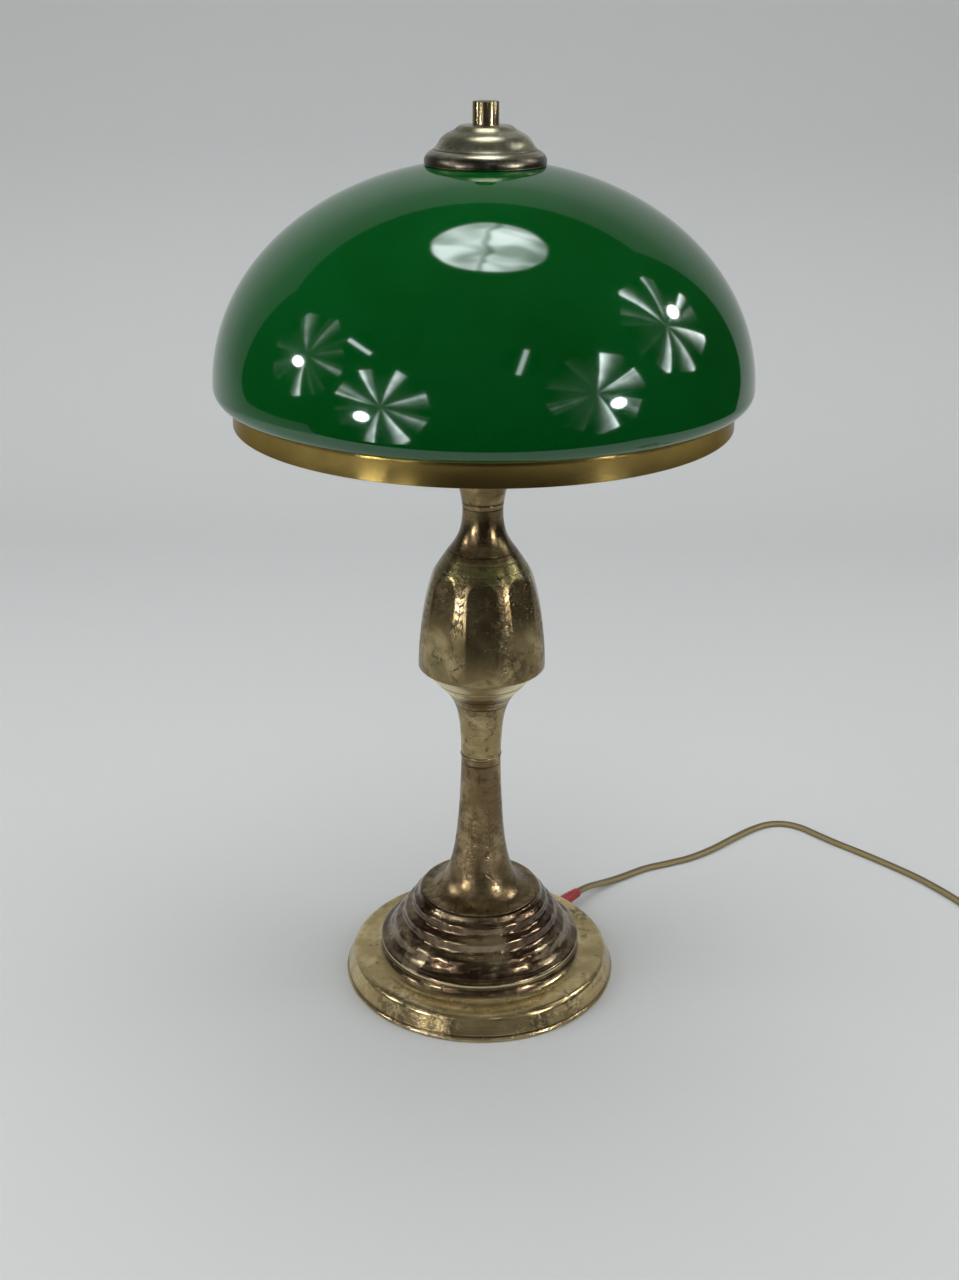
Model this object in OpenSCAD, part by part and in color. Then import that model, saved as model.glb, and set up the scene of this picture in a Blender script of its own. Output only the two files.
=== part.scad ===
// Table lamp: glass dome in a brass ring, on a turned brass column with a stepped weighted base.
// Millimetres, +Z up, origin at the centre of the base on the table.

/* [Base] */
// Outer radius of the rolled lip at the foot
base_r = 85.3; // [80:0.5:95]
// Radius of the rolled bead of the lip
lip_bead_r = 1.4; // [1:0.1:2]
// Radius of the dish at its upper shoulder
shoulder_r = 81.2; // [76:0.2:83]
// Height of the flat flange of the dish
flange_h = 15.2; // [13:0.2:18]
// Rounding between side wall and flange
shoulder_round = 4.5; // [1.5:0.1:6]
// Radius of the raised boss that carries the dome
boss_r = 60.5; // [56:0.5:61.5]
// Rise of the boss over the flange
boss_h = 7.3; // [6:0.1:10]
// Sheet thickness of the dish
dish_t = 1.2; // [0.8:0.1:1.8]
// Outer radius of the rim of the stepped dome
dome_r = 62.8; // [62:0.2:66]
// Height of the stepped dome
dome_h = 34.3; // [30:0.5:40]
// Thickness of the rim bead of the stepped dome
dome_rim_h = 3.2; // [2:0.2:4]
// Sheet thickness of the dome
dome_t = 1; // [0.8:0.1:1.6]
// Number of folds spun into the dome
fold_count = 3; // [2:1:4]
// Height of each fold over the dome's plain curve
fold_h = 1.1; // [0.4:0.1:1.6]
// Thickness of the cast-iron weight
weight_h = 9; // [6:0.5:11]
// Radius of the weight
weight_r = 56; // [40:1:57]
// Thickness of the closing plate
plate_t = 1.2; // [0.8:0.1:1.6]
// Thickness of the felt under the closing plate
felt_t = 0.8; // [0.5:0.1:1.2]

/* [Column] */
// Outer radius of the foot plate of the lower stem
foot_r = 36.8; // [34:0.2:40]
// Thickness of the foot plate's rim
foot_rim_h = 1.4; // [1:0.1:2.5]
// Height of the lower stem
lower_stem_h = 93.8; // [80:1:110]
// Radius of the stem at its waist
waist_r = 11.95; // [10.5:0.1:13]
// Height of the upper stem
upper_stem_h = 45.7; // [40:0.5:55]
// Radius of the upper stem where it meets the cup
stem_top_r = 23.2; // [21:0.2:25]
// Height of the turned cup under the bell
cup_h = 14.1; // [12:0.5:18]
// Radius of the cup at its upper rim
cup_r = 36; // [34:0.2:36.5]
// Height of the bell
bell_h = 70.6; // [60:1:80]
// Largest radius of the bell
bell_r = 38.4; // [37.5:0.2:42]
// Radius of the bell at its shoulder joint
bell_top_r = 21.4; // [19:0.2:24]
// Number of flutes round the bell
flute_count = 8; // [6:1:10]
// Depth of each flute
flute_depth = 1.3; // [0.4:0.1:1.6]
// Radius of the hollow of each flute
flute_round = 200; // [120:10:260]
// Height of the neck over the bell
neck_h = 28; // [24:0.5:34]
// Height of the flared collar under the shade
collar_h = 43; // [36:1:50]
// Radius of the collar at its top
collar_r = 20; // [16:0.5:26]
// Wall of the cast column pieces
cast_t = 2.2; // [1.6:0.1:3]
// Thickness of the webs that centre the column pieces
web_h = 4; // [3:0.5:6]

/* [Rod] */
// Outer radius of the hollow threaded rod
tube_r = 5; // [4:0.25:5.5]
// Bore radius of the hollow threaded rod
tube_bore_r = 4; // [3:0.1:4.2]
// Radius of the solid rod up to the finial
rod_r = 3; // [2.5:0.1:3.5]
// Width across the flats of the nuts on the hollow rod
nut_flats = 14; // [13:0.5:17]
// Height of those nuts
nut_h = 4; // [3:0.5:5]
// Radius of the clamping washer in the base
washer_r = 17; // [12:0.5:19]
// Thickness of the clamping washer
washer_t = 1.5; // [1:0.1:2.5]

/* [Shade] */
// Largest radius of the glass
glass_r = 149.2; // [140:0.2:155]
// Height of the glass over its widest circle
glass_h = 118.6; // [100:0.2:130]
// Thickness of the glass
glass_t = 3; // [2.5:0.1:4]
// Rounding of the turned-in lower edge of the glass
glass_turn_r = 8.7; // [6:0.1:9]
// Height of the widest circle over the turned-in edge
glass_low_h = 6.6; // [5:0.2:8]
// Radius of the hole in the crown
crown_hole_r = 10; // [8:0.5:14]
// How far the glass stands out over the brass ring
glass_over = 9.9; // [8.6:0.1:12]
// Height of the brass ring
ring_h = 13; // [11:0.2:16]
// Thickness of the ring's sheet
ring_t = 1.2; // [0.8:0.1:1.6]
// Height of the ring's lower edge over the collar
ring_lift = 9.4; // [8:0.2:14]
// Width of the ledge inside the ring
ledge_w = 9; // [7:0.5:12]
// Height of the ledge over the ring's lower edge
ledge_up = 4; // [3.6:0.1:4.6]
// Thickness of the soft strip on the ledge
strip_t = 1; // [0.6:0.1:1.4]
// Outer radius of the crown cap
cap_r = 32.6; // [30:0.2:36]
// Height of the crown cap
cap_h = 19.9; // [18:0.1:24]
// Sheet thickness of the crown cap
cap_t = 1; // [0.8:0.1:1.5]
// Radius of the cap's lower lobe
cap_lobe_r = 6; // [5:0.2:7]
// Radius of the finial
finial_r = 7; // [5.5:0.1:8]
// Height of the finial
finial_h = 11.9; // [9:0.1:14]

/* [Lights] */
// Number of arms between column and ring
arm_count = 3; // [3:1:4]
// Width of each arm
arm_w = 9; // [7:0.5:12]
// Thickness of each arm
arm_t = 2.4; // [2:0.1:3]
// Radius of the hub that carries the arms
hub_r = 13; // [11:0.5:16]
// Radius of the wiring box
box_r = 17; // [16:0.5:20]
// Height of the wiring box
box_h = 26; // [24:1:32]
// Wall of the wiring box
box_t = 1.6; // [1.2:0.1:2]
// Upward tilt of the two lampholders
holder_tilt = 25; // [15:1:30]
// Outer radius of a lampholder
holder_r = 14.5; // [13.5:0.1:16]
// Length of a lampholder
holder_l = 40; // [36:1:44]
// Radius of the bulb's screw cap
bulb_cap_r = 6.9; // [6.5:0.1:7]
// Length of the bulb's screw cap
bulb_cap_l = 17; // [15:0.5:20]
// Radius of the bulb's globe
bulb_r = 22.5; // [20:0.5:24]
// Length of the bulb's glass
bulb_l = 61; // [56:1:64]

/* [Cord] */
// Width of the flat twin cord
cord_w = 5.2; // [4.8:0.1:5.4]
// Thickness of the flat twin cord
cord_t = 3.4; // [3:0.1:3.6]
// Direction in which the cord leaves the base
exit_angle = 48; // [40:1:56]
// Height of the cord hole over the table
exit_z = 7.4; // [7:0.1:7.8]
// Length of the soft sleeve outside the base
sleeve_l = 17; // [14:0.5:20]
// Length of the cord switch
switch_l = 62; // [56:1:70]
// Width of the cord switch
switch_w = 24; // [22:0.5:28]
// Height of the cord switch
switch_h = 15; // [14:0.5:18]
// Length of the rocker
rocker_l = 17; // [14:0.5:20]
// Width of the rocker
rocker_w = 9; // [8:0.5:11]
// Tilt of the rocker in each of its two places
rocker_tilt = 7; // [5:0.5:9]
// Width of the plug at its pins
plug_w = 35; // [32:0.5:37]
// Thickness of the plug
plug_t = 13.7; // [13:0.1:15]
// Length of the plug's body
plug_l = 34; // [30:1:40]
// Radius of the plug's pins
pin_r = 2; // [1.9:0.05:2.4]
// Free length of the plug's pins
pin_l = 19; // [17:0.5:20]
// Distance between the plug's pins
pin_gap = 18.6; // [17.5:0.1:19]

/* [Hidden] */

$fn = 96;
fit = 0.3; // gap between pieces that only lie near each other
slip = 0.05; // running gap between a pin or thread and its hole
seam = 0.4; // small chamfer at the joints of the column
ring_r = glass_r - glass_over;
full_turn = 360;
past = 1; // how far a cutting piece runs out of what it cuts
bore_r = tube_r + 0.2;

// Heights of the stack, from the table up
boss_z = flange_h + boss_h;
dome_z = boss_z + dome_h;
stem_seam_z = dome_z + lower_stem_h;
cup_z = stem_seam_z + upper_stem_h;
bell_z = cup_z + cup_h;
bell_seam_z = bell_z + bell_h;
neck_seam_z = bell_seam_z + neck_h;
collar_z = neck_seam_z + collar_h;
ring_z = collar_z + ring_lift;
ledge_z = ring_z + ledge_up;
strip_z = ledge_z + ring_t;
glass_z = strip_z + strip_t;
glass_under_z = ring_z + ring_h + 0.4;
glass_mid_z = glass_under_z + glass_low_h;
hub_z = ledge_z + 0.6;
box_z = hub_z;
lid_z = box_z + box_h;
light_z = box_z + 6;

// Curves
function unit(v) = v / norm(v);
function turn_left(v) = [-v[1], v[0]];
function reversed(p) = [for (i = [len(p) - 1:-1:0]) p[i]];
function arc(centre, r, from, to, steps = 8) =
    [for (i = [0:steps]) let (a = from + (to - from) * i / steps) centre + r * [cos(a), sin(a)]];
function bend(a, b, c, d, steps = 12) =
    [for (i = [0:steps]) let (t = i / steps, s = 1 - t)
        s * s * s * a + 3 * s * s * t * b + 3 * s * t * t * c + t * t * t * d];
function offset_point(p, i, d) =
    let (before = unit(p[max(i, 1)] - p[max(i, 1) - 1]),
         after = unit(p[min(i, len(p) - 2) + 1] - p[min(i, len(p) - 2)]),
         side = unit(turn_left(before) + turn_left(after)))
    p[i] + side * d / (side * turn_left(before));
function level_point(p, i, d) =
    let (along = unit(i == 0 ? p[1] - p[0] : p[i] - p[i - 1]))
    along[1] > 0.3 ? p[i] - [d / along[1], 0] : offset_point(p, i, d);
function inner_line(p, d) = [for (i = [0:len(p) - 1])
    i == 0 || i == len(p) - 1 ? level_point(p, i, d) : offset_point(p, i, d)];
function smooth(t) = let (c = min(1, max(0, t))) c * c * (3 - 2 * c);

// A spun or cast wall of even thickness inside an outline that runs upward
module spun(line, wall) {
    rotate_extrude() polygon(concat(line, reversed(inner_line(line, wall))));
}

// A flat disc with the rod's bore
module web(z, r, h) {
    translate([0, 0, z]) difference() {
        cylinder(r = r, h = h);
        translate([0, 0, -1]) cylinder(r = bore_r, h = h + 2);
    }
}

// Hexagon nut with its bore
module nut(flats, h, hole_r) {
    difference() {
        cylinder(r = flats / sqrt(3), h = h, $fn = 6);
        translate([0, 0, -1]) cylinder(r = hole_r, h = h + 2);
    }
}

// Base
wall_foot = [base_r - 0.8, 2 * lip_bead_r + 0.2];
dish_line = concat(
    [wall_foot],
    arc([shoulder_r - shoulder_round, flange_h - shoulder_round], shoulder_round, 15, 90, 6),
    arc([boss_r + boss_h, boss_z], boss_h, 270, 180, 8),
    [[bore_r, boss_z]]);
bead_r = base_r - lip_bead_r;

module base_dish() {
    color([0.72, 0.64, 0.42]) difference() {
        union() {
            spun(dish_line, dish_t);
            rotate_extrude() translate([bead_r, lip_bead_r]) circle(r = lip_bead_r, $fn = 24);
            rotate_extrude() translate([wall_foot[0] - dish_t, lip_bead_r])
                square([dish_t, lip_bead_r + 0.6]);
        }
        exit_place(base_r - 12) cylinder(r = sleeve_r + 0.15, h = 30);
    }
}

rim_round = dome_rim_h / 2;
rim_turn = 60; // how far the rim rolls over towards the folds
rim_middle = [dome_r - rim_round, boss_z + rim_round];
rim_end = rim_middle + rim_round * [cos(rim_turn), sin(rim_turn)];
top_round = 1.2; // rounding where the folds meet the flat top
top_turn = 32; // where that rounding starts
top_middle = [foot_r + 0.2, dome_z - top_round];
fold_end = top_middle + top_round * [cos(top_turn), sin(top_turn)];
fold_start_lean = [-8.8, 5.6]; // first pull of the flank, inward and up
fold_end_lean = [11.8, -17]; // last pull of the flank, outward and down
fold_steps = 30;
fold_fade = 0.12; // share of the flank over which the folds grow and die away
flank = bend(rim_end, rim_end + fold_start_lean, fold_end + fold_end_lean, fold_end, fold_steps);
function fold(t) = fold_h * cos(full_turn * (fold_count * t * t - 0.5))
    * smooth(t / fold_fade) * smooth((1 - t) / fold_fade);
function folded(i) = flank[i] - fold(i / fold_steps) * unit(turn_left(
    flank[min(i + 1, fold_steps)] - flank[max(i - 1, 0)]));
dome_line = concat(
    arc(rim_middle, rim_round, -90, rim_turn, 6),
    [for (i = [1:fold_steps - 1]) folded(i)],
    arc(top_middle, top_round, top_turn, 90, 4),
    [[bore_r, dome_z]]);

module stepped_dome() {
    color([0.52, 0.42, 0.25]) spun(dome_line, dome_t);
}

weight_z = boss_z - dish_t - weight_h;
weight_web = 3;
recess_r = washer_r + 1;

module base_weight() {
    color([0.25, 0.25, 0.26]) translate([0, 0, weight_z]) difference() {
        cylinder(r = weight_r, h = weight_h);
        translate([0, 0, -1]) cylinder(r = bore_r, h = weight_h + 2);
        translate([0, 0, -1]) cylinder(r = recess_r, h = weight_h - weight_web + 1);
    }
}

washer_z = weight_z + weight_h - weight_web - washer_t;

module base_washer() {
    color([0.7, 0.7, 0.68]) translate([0, 0, washer_z]) difference() {
        cylinder(r = washer_r, h = washer_t);
        translate([0, 0, -1]) cylinder(r = bore_r, h = washer_t + 2);
    }
}

module base_nut() {
    color([0.75, 0.65, 0.4]) translate([0, 0, washer_z - nut_h]) nut(nut_flats, nut_h, bore_r);
}

plate_r = bead_r - lip_bead_r - 0.1;

module base_plate() {
    color([0.3, 0.3, 0.3]) translate([0, 0, felt_t]) cylinder(r = plate_r, h = plate_t);
}

module base_felt() {
    color([0.12, 0.22, 0.14]) cylinder(r = plate_r - 1, h = felt_t);
}

// Column
foot_top_z = dome_z + foot_rim_h + 0.4;
foot_line = [
    [foot_r - 8, dome_z], [foot_r - 2.4, dome_z], [foot_r - 2.4, dome_z + 0.5],
    [foot_r - 0.2, dome_z + 0.5], [foot_r, dome_z + 0.8], [foot_r, foot_top_z - 0.4],
    [foot_r - 0.4, foot_top_z], [foot_r - 8, foot_top_z]];
stem_flat = 17; // how far the foot's curve runs level
stem_rise = 68; // how far the stem's curve runs upright
stem_lean = 1.6; // how far the stem still leans in on that run
lower_stem_line = concat(
    bend([foot_r - 1.4, foot_top_z + 0.2],
         [foot_r - 1.4 - stem_flat, foot_top_z + 0.2],
         [waist_r + stem_lean, stem_seam_z - stem_rise],
         [waist_r, stem_seam_z - seam], 16),
    [[waist_r - seam, stem_seam_z]]);

module lower_stem() {
    color([0.56, 0.46, 0.3]) union() {
        spun(lower_stem_line, foot_rim_h + 0.5);
        rotate_extrude() polygon(foot_line);
        web(stem_seam_z - web_h, waist_r - 1, web_h);
    }
}

bead_h = 1.8;
upper_stem_line = bend([waist_r + 0.15, stem_seam_z], [waist_r + 0.5, stem_seam_z + 28],
                       [waist_r + 3, cup_z - 8.3], [stem_top_r, cup_z], 14);

module upper_stem() {
    color([0.6, 0.5, 0.32]) union() {
        spun(upper_stem_line, cast_t);
        rotate_extrude() translate([waist_r - 0.2, stem_seam_z + bead_h / 2])
            circle(r = bead_h / 2, $fn = 24);
        web(stem_seam_z, waist_r - 1, web_h);
    }
}

cup_slope = [cup_r - stem_top_r, cup_h];
cup_foot = [stem_top_r, cup_z];
groove = 0.4; // half width of the turned line round the cup
cup_line = [
    cup_foot,
    cup_foot + cup_slope * 0.37,
    cup_foot + cup_slope * 0.40 - [groove, 0],
    cup_foot + cup_slope * 0.43,
    [cup_r, bell_z]];

module bell_cup() {
    color([0.78, 0.7, 0.48]) union() {
        rotate_extrude() polygon(concat(
            cup_line, reversed(inner_line([cup_foot, [cup_r, bell_z]], cast_t))));
        web(cup_z, stem_top_r - 1, web_h);
    }
}

bell_edge_r = 2; // rounding of the bell's lower edge
bell_side_h = 48; // height of the bell's long curved side
bell_side_r = 178; // radius of that curve
bell_side_z = bell_z + 3.6;
bell_side_a = asin(bell_side_h / bell_side_r);
bell_side_end = [bell_r - bell_side_r * (1 - cos(bell_side_a)), bell_side_z + bell_side_h];
shoulder_dir = [-sin(bell_side_a), cos(bell_side_a)];
neck_dir = unit([-0.56, 0.83]); // slope of the shoulder at the joint
bell_seam = [bell_top_r, bell_seam_z];
bell_side = concat(
    arc([bell_r - bell_side_r, bell_side_z], bell_side_r, 0, bell_side_a, 8),
    [for (i = [1:8]) bend(bell_side_end, bell_side_end + 7 * shoulder_dir,
                          bell_seam - 7 * neck_dir, bell_seam, 8)[i]]);
bell_line = concat(
    [[bell_r - 6, bell_z]],
    arc([bell_r - bell_edge_r - 0.2, bell_z + bell_edge_r], bell_edge_r, -90, -10, 4),
    bell_side);
bell_wall = cast_t + flute_depth;
bell_inside = concat([[bell_r - 6, bell_z]], inner_line(bell_side, bell_wall));
flute_track_r = bell_side_r + flute_round - flute_depth;
flute_run = 2.5; // angle by which each flute runs on past the bell's side, at both ends

module bell() {
    color([0.55, 0.45, 0.28]) difference() {
        union() {
            rotate_extrude() polygon(concat(bell_line, reversed(bell_inside)));
            web(bell_seam_z - web_h, bell_top_r - 1, web_h);
        }
        for (i = [0:flute_count - 1]) {
            rotate([0, 0, -90 + i * 360 / flute_count])
                translate([bell_r - bell_side_r, 0, bell_side_z])
                rotate([90, 0, 0]) rotate([0, 0, -flute_run])
                rotate_extrude(angle = bell_side_a + 2 * flute_run)
                translate([flute_track_r, 0]) circle(r = flute_round);
        }
    }
}

neck_line = concat(
    bend(bell_seam, bell_seam + 7.5 * neck_dir, [waist_r - 0.5, bell_seam_z + 11],
         [waist_r - 0.1, neck_seam_z - seam], 12),
    [[waist_r - 0.5, neck_seam_z]]);

module bell_neck() {
    color([0.5, 0.4, 0.26]) union() {
        spun(neck_line, cast_t);
        web(neck_seam_z - web_h, waist_r - 1, web_h);
    }
}

collar_line = concat(
    [[waist_r - 0.3, neck_seam_z]],
    bend([waist_r, neck_seam_z + seam], [waist_r + 0.7, neck_seam_z + 9],
         [collar_r - 4, neck_seam_z + 19], [collar_r, collar_z - 6], 10),
    [[collar_r, collar_z]]);

module neck_collar() {
    color([0.58, 0.48, 0.3]) union() {
        spun(collar_line, cast_t);
        web(neck_seam_z, waist_r - 1, web_h);
        web(collar_z - web_h, collar_r - 1, web_h);
    }
}

tube_foot_z = washer_z - nut_h - 1;
tube_top_z = box_z + box_t + nut_h + 1;

module stem_tube() {
    color([0.72, 0.68, 0.5]) translate([0, 0, tube_foot_z]) difference() {
        cylinder(r = tube_r, h = tube_top_z - tube_foot_z);
        translate([0, 0, -1]) cylinder(r = tube_bore_r, h = tube_top_z - tube_foot_z + 2);
    }
}

// Ring and its carrier
arm_reach = ring_r - ring_t - 0.6;
screw_ring_r = ring_r - ring_t - ledge_w / 2;
screw_hole_r = 1.6; // ledge screws
screw_shank_r = 1.5;
screw_head_r = 2.8;
screw_head_h = 1.6;
slot_w = 0.8;
slot_deep = 0.7;
strip_w = 5.5; // width of the soft strip

module shade_ring() {
    color([0.7, 0.52, 0.22]) difference() {
        union() {
            rotate_extrude() translate([ring_r - ring_t, ring_z]) square([ring_t, ring_h - ring_t / 2]);
            rotate_extrude() translate([ring_r - ring_t / 2, ring_z + ring_h - ring_t / 2])
                circle(r = ring_t / 2, $fn = 24);
            rotate_extrude() translate([ring_r - ring_t - ledge_w, ledge_z])
                square([ledge_w + ring_t / 2, ring_t]);
        }
        screw_places() translate([0, 0, -arm_t])
            cylinder(r = screw_hole_r, h = 2 * arm_t + ring_t, $fn = 24);
    }
}

module ring_strip() {
    color([0.1, 0.1, 0.1]) translate([0, 0, strip_z]) difference() {
        cylinder(r = ring_r - ring_t - fit, h = strip_t);
        translate([0, 0, -past]) cylinder(r = ring_r - ring_t - strip_w, h = strip_t + 2 * past);
    }
}

module screw_places() {
    for (i = [0:arm_count - 1])
        rotate([0, 0, 90 + i * 360 / arm_count]) translate([screw_ring_r, 0, ledge_z]) children();
}

module shade_spider() {
    color([0.66, 0.52, 0.28]) difference() {
        union() {
            translate([0, 0, collar_z]) cylinder(r = hub_r, h = hub_z - collar_z);
            for (i = [0:arm_count - 1]) rotate([0, 0, 90 + i * 360 / arm_count])
                translate([hub_r - 3, -arm_w / 2, ledge_z - arm_t])
                cube([arm_reach - hub_r + 3, arm_w, arm_t]);
        }
        translate([0, 0, collar_z - 1]) cylinder(r = bore_r, h = hub_z - collar_z + 2);
        screw_places() translate([0, 0, -arm_t - past])
            cylinder(r = screw_hole_r, h = arm_t + 2 * past, $fn = 24);
    }
}

module spider_screws() {
    color([0.75, 0.62, 0.3]) screw_places() {
        translate([0, 0, -arm_t]) cylinder(r = screw_shank_r, h = arm_t + ring_t - 0.1, $fn = 24);
        translate([0, 0, -arm_t - screw_head_h]) difference() {
            cylinder(r = screw_head_r, h = screw_head_h, $fn = 32);
            translate([-2 * screw_head_r, -slot_w / 2, -past])
                cube([4 * screw_head_r, slot_w, past + slot_deep]);
        }
    }
}

// Glass
function glass_top(r) = glass_mid_z + glass_h * sqrt(1 - r * r / glass_r / glass_r);
lip_gap = 0.8; // between the glass's foot and the ring's wall
glass_lip_r = ring_r - ring_t - lip_gap;
crown_a = acos(crown_hole_r / glass_r);
turn_centre = [glass_r - glass_turn_r, glass_under_z + glass_turn_r];
inner_glass_r = glass_r - glass_t;
inner_crown_a = acos(crown_hole_r / inner_glass_r);
glass_steps = 28;
glass_outside = concat(
    [[glass_lip_r, glass_z], [glass_lip_r, glass_under_z]],
    arc(turn_centre, glass_turn_r, -90, 0, 8),
    [for (i = [1:glass_steps]) let (a = crown_a * i / glass_steps)
        [glass_r * cos(a), glass_mid_z + glass_h * sin(a)]]);
glass_inside = concat(
    [[glass_lip_r - glass_t, glass_z], [glass_lip_r - glass_t, turn_centre[1] - glass_turn_r + glass_t]],
    arc(turn_centre, glass_turn_r - glass_t, -90, 0, 6),
    [for (i = [1:glass_steps]) let (a = inner_crown_a * i / glass_steps)
        [inner_glass_r * cos(a), glass_mid_z + (glass_h - glass_t) * sin(a)]]);
glass_wall = concat(glass_outside, reversed(glass_inside));

module glass_shade() {
    color([0.03, 0.36, 0.14]) rotate_extrude() polygon(glass_wall);
}

// Crown
cap_z = glass_top(cap_r - cap_t) + fit;
cap_top_z = cap_z + cap_h;
lobe_z = cap_z + 1.6;
lobe_turn = 68; // how far the lower lobe rolls over
cap_flat_r = 13.2;
cap_step = 4.8; // how far the cap's upper part stands inside its edge
cap_start = [cap_r - cap_step, lobe_z + cap_lobe_r];
cap_end = [cap_flat_r, cap_top_z];
cap_start_lean = [-2.8, 4.2]; // first pull of the upper part, inward and up
cap_end_lean = [5.3, -1.9]; // last pull of the upper part, outward and down
cap_line = concat(
    arc([cap_r - cap_lobe_r, lobe_z], cap_lobe_r, -15, lobe_turn, 8),
    bend(cap_start, cap_start + cap_start_lean, cap_end + cap_end_lean, cap_end),
    [[rod_r + fit, cap_top_z]]);

module shade_cap() {
    color([0.38, 0.34, 0.27]) spun(cap_line, cap_t);
}

cap_felt_r = cap_r - cap_t - 0.5;
cap_felt_w = 4;

module cap_felt() {
    color([0.1, 0.1, 0.1]) rotate_extrude() polygon([
        [cap_felt_r - cap_felt_w, glass_top(cap_felt_r - cap_felt_w) + fit],
        [cap_felt_r, glass_top(cap_felt_r) + fit],
        [cap_felt_r, cap_z + 2], [cap_felt_r - cap_felt_w, cap_z + 2.4]]);
}

rod_top_z = cap_top_z + finial_h - 2.5;
rod_foot_z = lid_z - 7;
rod_nut_flats = 10;
rod_nut_h = 3;
rod_hole_r = rod_r + 0.1;
finial_edge = 0.3; // chamfer at both ends

module finial() {
    color([0.72, 0.6, 0.34]) translate([0, 0, cap_top_z]) difference() {
        rotate_extrude() polygon([[0, 0], [finial_r - finial_edge, 0], [finial_r, finial_edge],
            [finial_r, finial_h - finial_edge], [finial_r - finial_edge, finial_h], [0, finial_h]]);
        translate([0, 0, -1]) cylinder(r = rod_r + slip, h = finial_h - 1);
    }
}

module top_rod() {
    color([0.7, 0.66, 0.5]) translate([0, 0, rod_foot_z]) cylinder(r = rod_r, h = rod_top_z - rod_foot_z);
}

module rod_nuts() {
    color([0.75, 0.65, 0.4]) {
        translate([0, 0, lid_z]) nut(rod_nut_flats, rod_nut_h, rod_hole_r);
        translate([0, 0, lid_z - box_t - rod_nut_h]) nut(rod_nut_flats, rod_nut_h, rod_hole_r);
    }
}

// Wiring box and lampholders
module wiring_box() {
    color([0.66, 0.55, 0.32]) difference() {
        translate([0, 0, box_z]) difference() {
            cylinder(r = box_r, h = box_h - box_t);
            translate([0, 0, box_t]) cylinder(r = box_r - box_t, h = box_h);
            translate([0, 0, -1]) cylinder(r = bore_r, h = box_t + 2);
        }
        for (side = [0, 180]) light_place(side) translate([0, 0, 8]) cylinder(r = nipple_r + 0.1, h = 14);
    }
}

module wiring_box_lid() {
    color([0.7, 0.58, 0.34]) difference() {
        union() {
            translate([0, 0, lid_z - box_t]) cylinder(r = box_r + 0.6, h = box_t);
            translate([0, 0, lid_z - box_t - 2.5]) difference() {
                cylinder(r = box_r - box_t - 0.1, h = 2.6);
                translate([0, 0, -1]) cylinder(r = box_r - 2 * box_t - 0.1, h = 5);
            }
        }
        translate([0, 0, lid_z - box_t - past]) cylinder(r = rod_hole_r, h = box_t + 2 * past);
    }
}

module box_nut() {
    color([0.75, 0.65, 0.4]) translate([0, 0, box_z + box_t]) nut(nut_flats, nut_h, bore_r);
}

// Puts a child's +Z along a lampholder's axis
module light_place(side) {
    rotate([0, 0, side]) translate([0, 0, light_z]) rotate([0, 90 - holder_tilt, 0]) children();
}

nipple_r = 5;
nipple_bore_r = 3.6;
nipple_start = box_r - 4;
holder_gap = 8; // from the wiring box's wall to a lampholder
holder_start = box_r + holder_gap;
holder_cap_t = 3;
insert_l = 13;
insert_start = holder_start + holder_cap_t + 0.5;
bulb_start = insert_start + insert_l + 0.6;
lead_gap = 1.3; // each core's offset from the middle of the twin lead
core_r = 1.1;
block_w = 9;
block_h = 8;
block_z = tube_top_z + 0.6;

module holder_nipples() {
    color([0.72, 0.68, 0.5]) for (side = [0, 180]) light_place(side)
        translate([0, 0, nipple_start]) difference() {
            cylinder(r = nipple_r, h = holder_start + holder_cap_t - nipple_start);
            translate([0, 0, -past]) cylinder(r = nipple_bore_r, h = holder_l);
        }
}

module holder() {
    translate([0, 0, holder_start]) difference() {
        rotate_extrude() polygon(concat([[nipple_r + 0.1, 0]],
            arc([holder_r - 4, 4], 4, -90, 0, 6),
            [[holder_r, holder_l * 0.55], [holder_r + 0.8, holder_l * 0.55 + 0.8]],
            [[holder_r + 0.8, holder_l * 0.62], [holder_r, holder_l * 0.64], [holder_r, holder_l]],
            [[holder_r - 2.2, holder_l], [holder_r - 2.2, holder_cap_t], [nipple_r + 0.1, holder_cap_t]]));
    }
}

module holder_insert() {
    translate([0, 0, insert_start]) difference() {
        cylinder(r = holder_r - 2.4, h = insert_l + bulb_cap_l - 6);
        translate([0, 0, insert_l]) cylinder(r = bulb_cap_r + slip, h = 40);
    }
}

module bulb_cap() {
    rib = 0.35;
    translate([0, 0, bulb_start]) rotate_extrude() polygon(concat(
        [[0, -0.5], [2.2, -0.4], [2.6, 0.4], [4.6, 1.6]],
        [for (i = [0:5], k = [0, 1]) [bulb_cap_r - (k == 0 ? rib : 0), 2.6 + 2 * i + k]],
        [[bulb_cap_r - rib, bulb_cap_l - 1.6], [bulb_cap_r - rib, bulb_cap_l], [0, bulb_cap_l]]));
}

module bulb() {
    mid = bulb_l - bulb_r;
    neck_r = bulb_cap_r - 1;
    join_a = -52;
    translate([0, 0, bulb_start + bulb_cap_l]) rotate_extrude() polygon(concat(
        [[0, 0], [neck_r, 0]],
        bend([neck_r, 2], [neck_r + 1, 9],
             [bulb_r * cos(join_a) + sin(join_a) * 6, mid + bulb_r * sin(join_a) - cos(join_a) * 6],
             [bulb_r * cos(join_a), mid + bulb_r * sin(join_a)], 6),
        [for (i = [1:14]) [bulb_r * cos(join_a + (90 - join_a) * i / 14) * (i == 14 ? 0 : 1),
                           mid + bulb_r * sin(join_a + (90 - join_a) * i / 14)]]));
}

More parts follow.
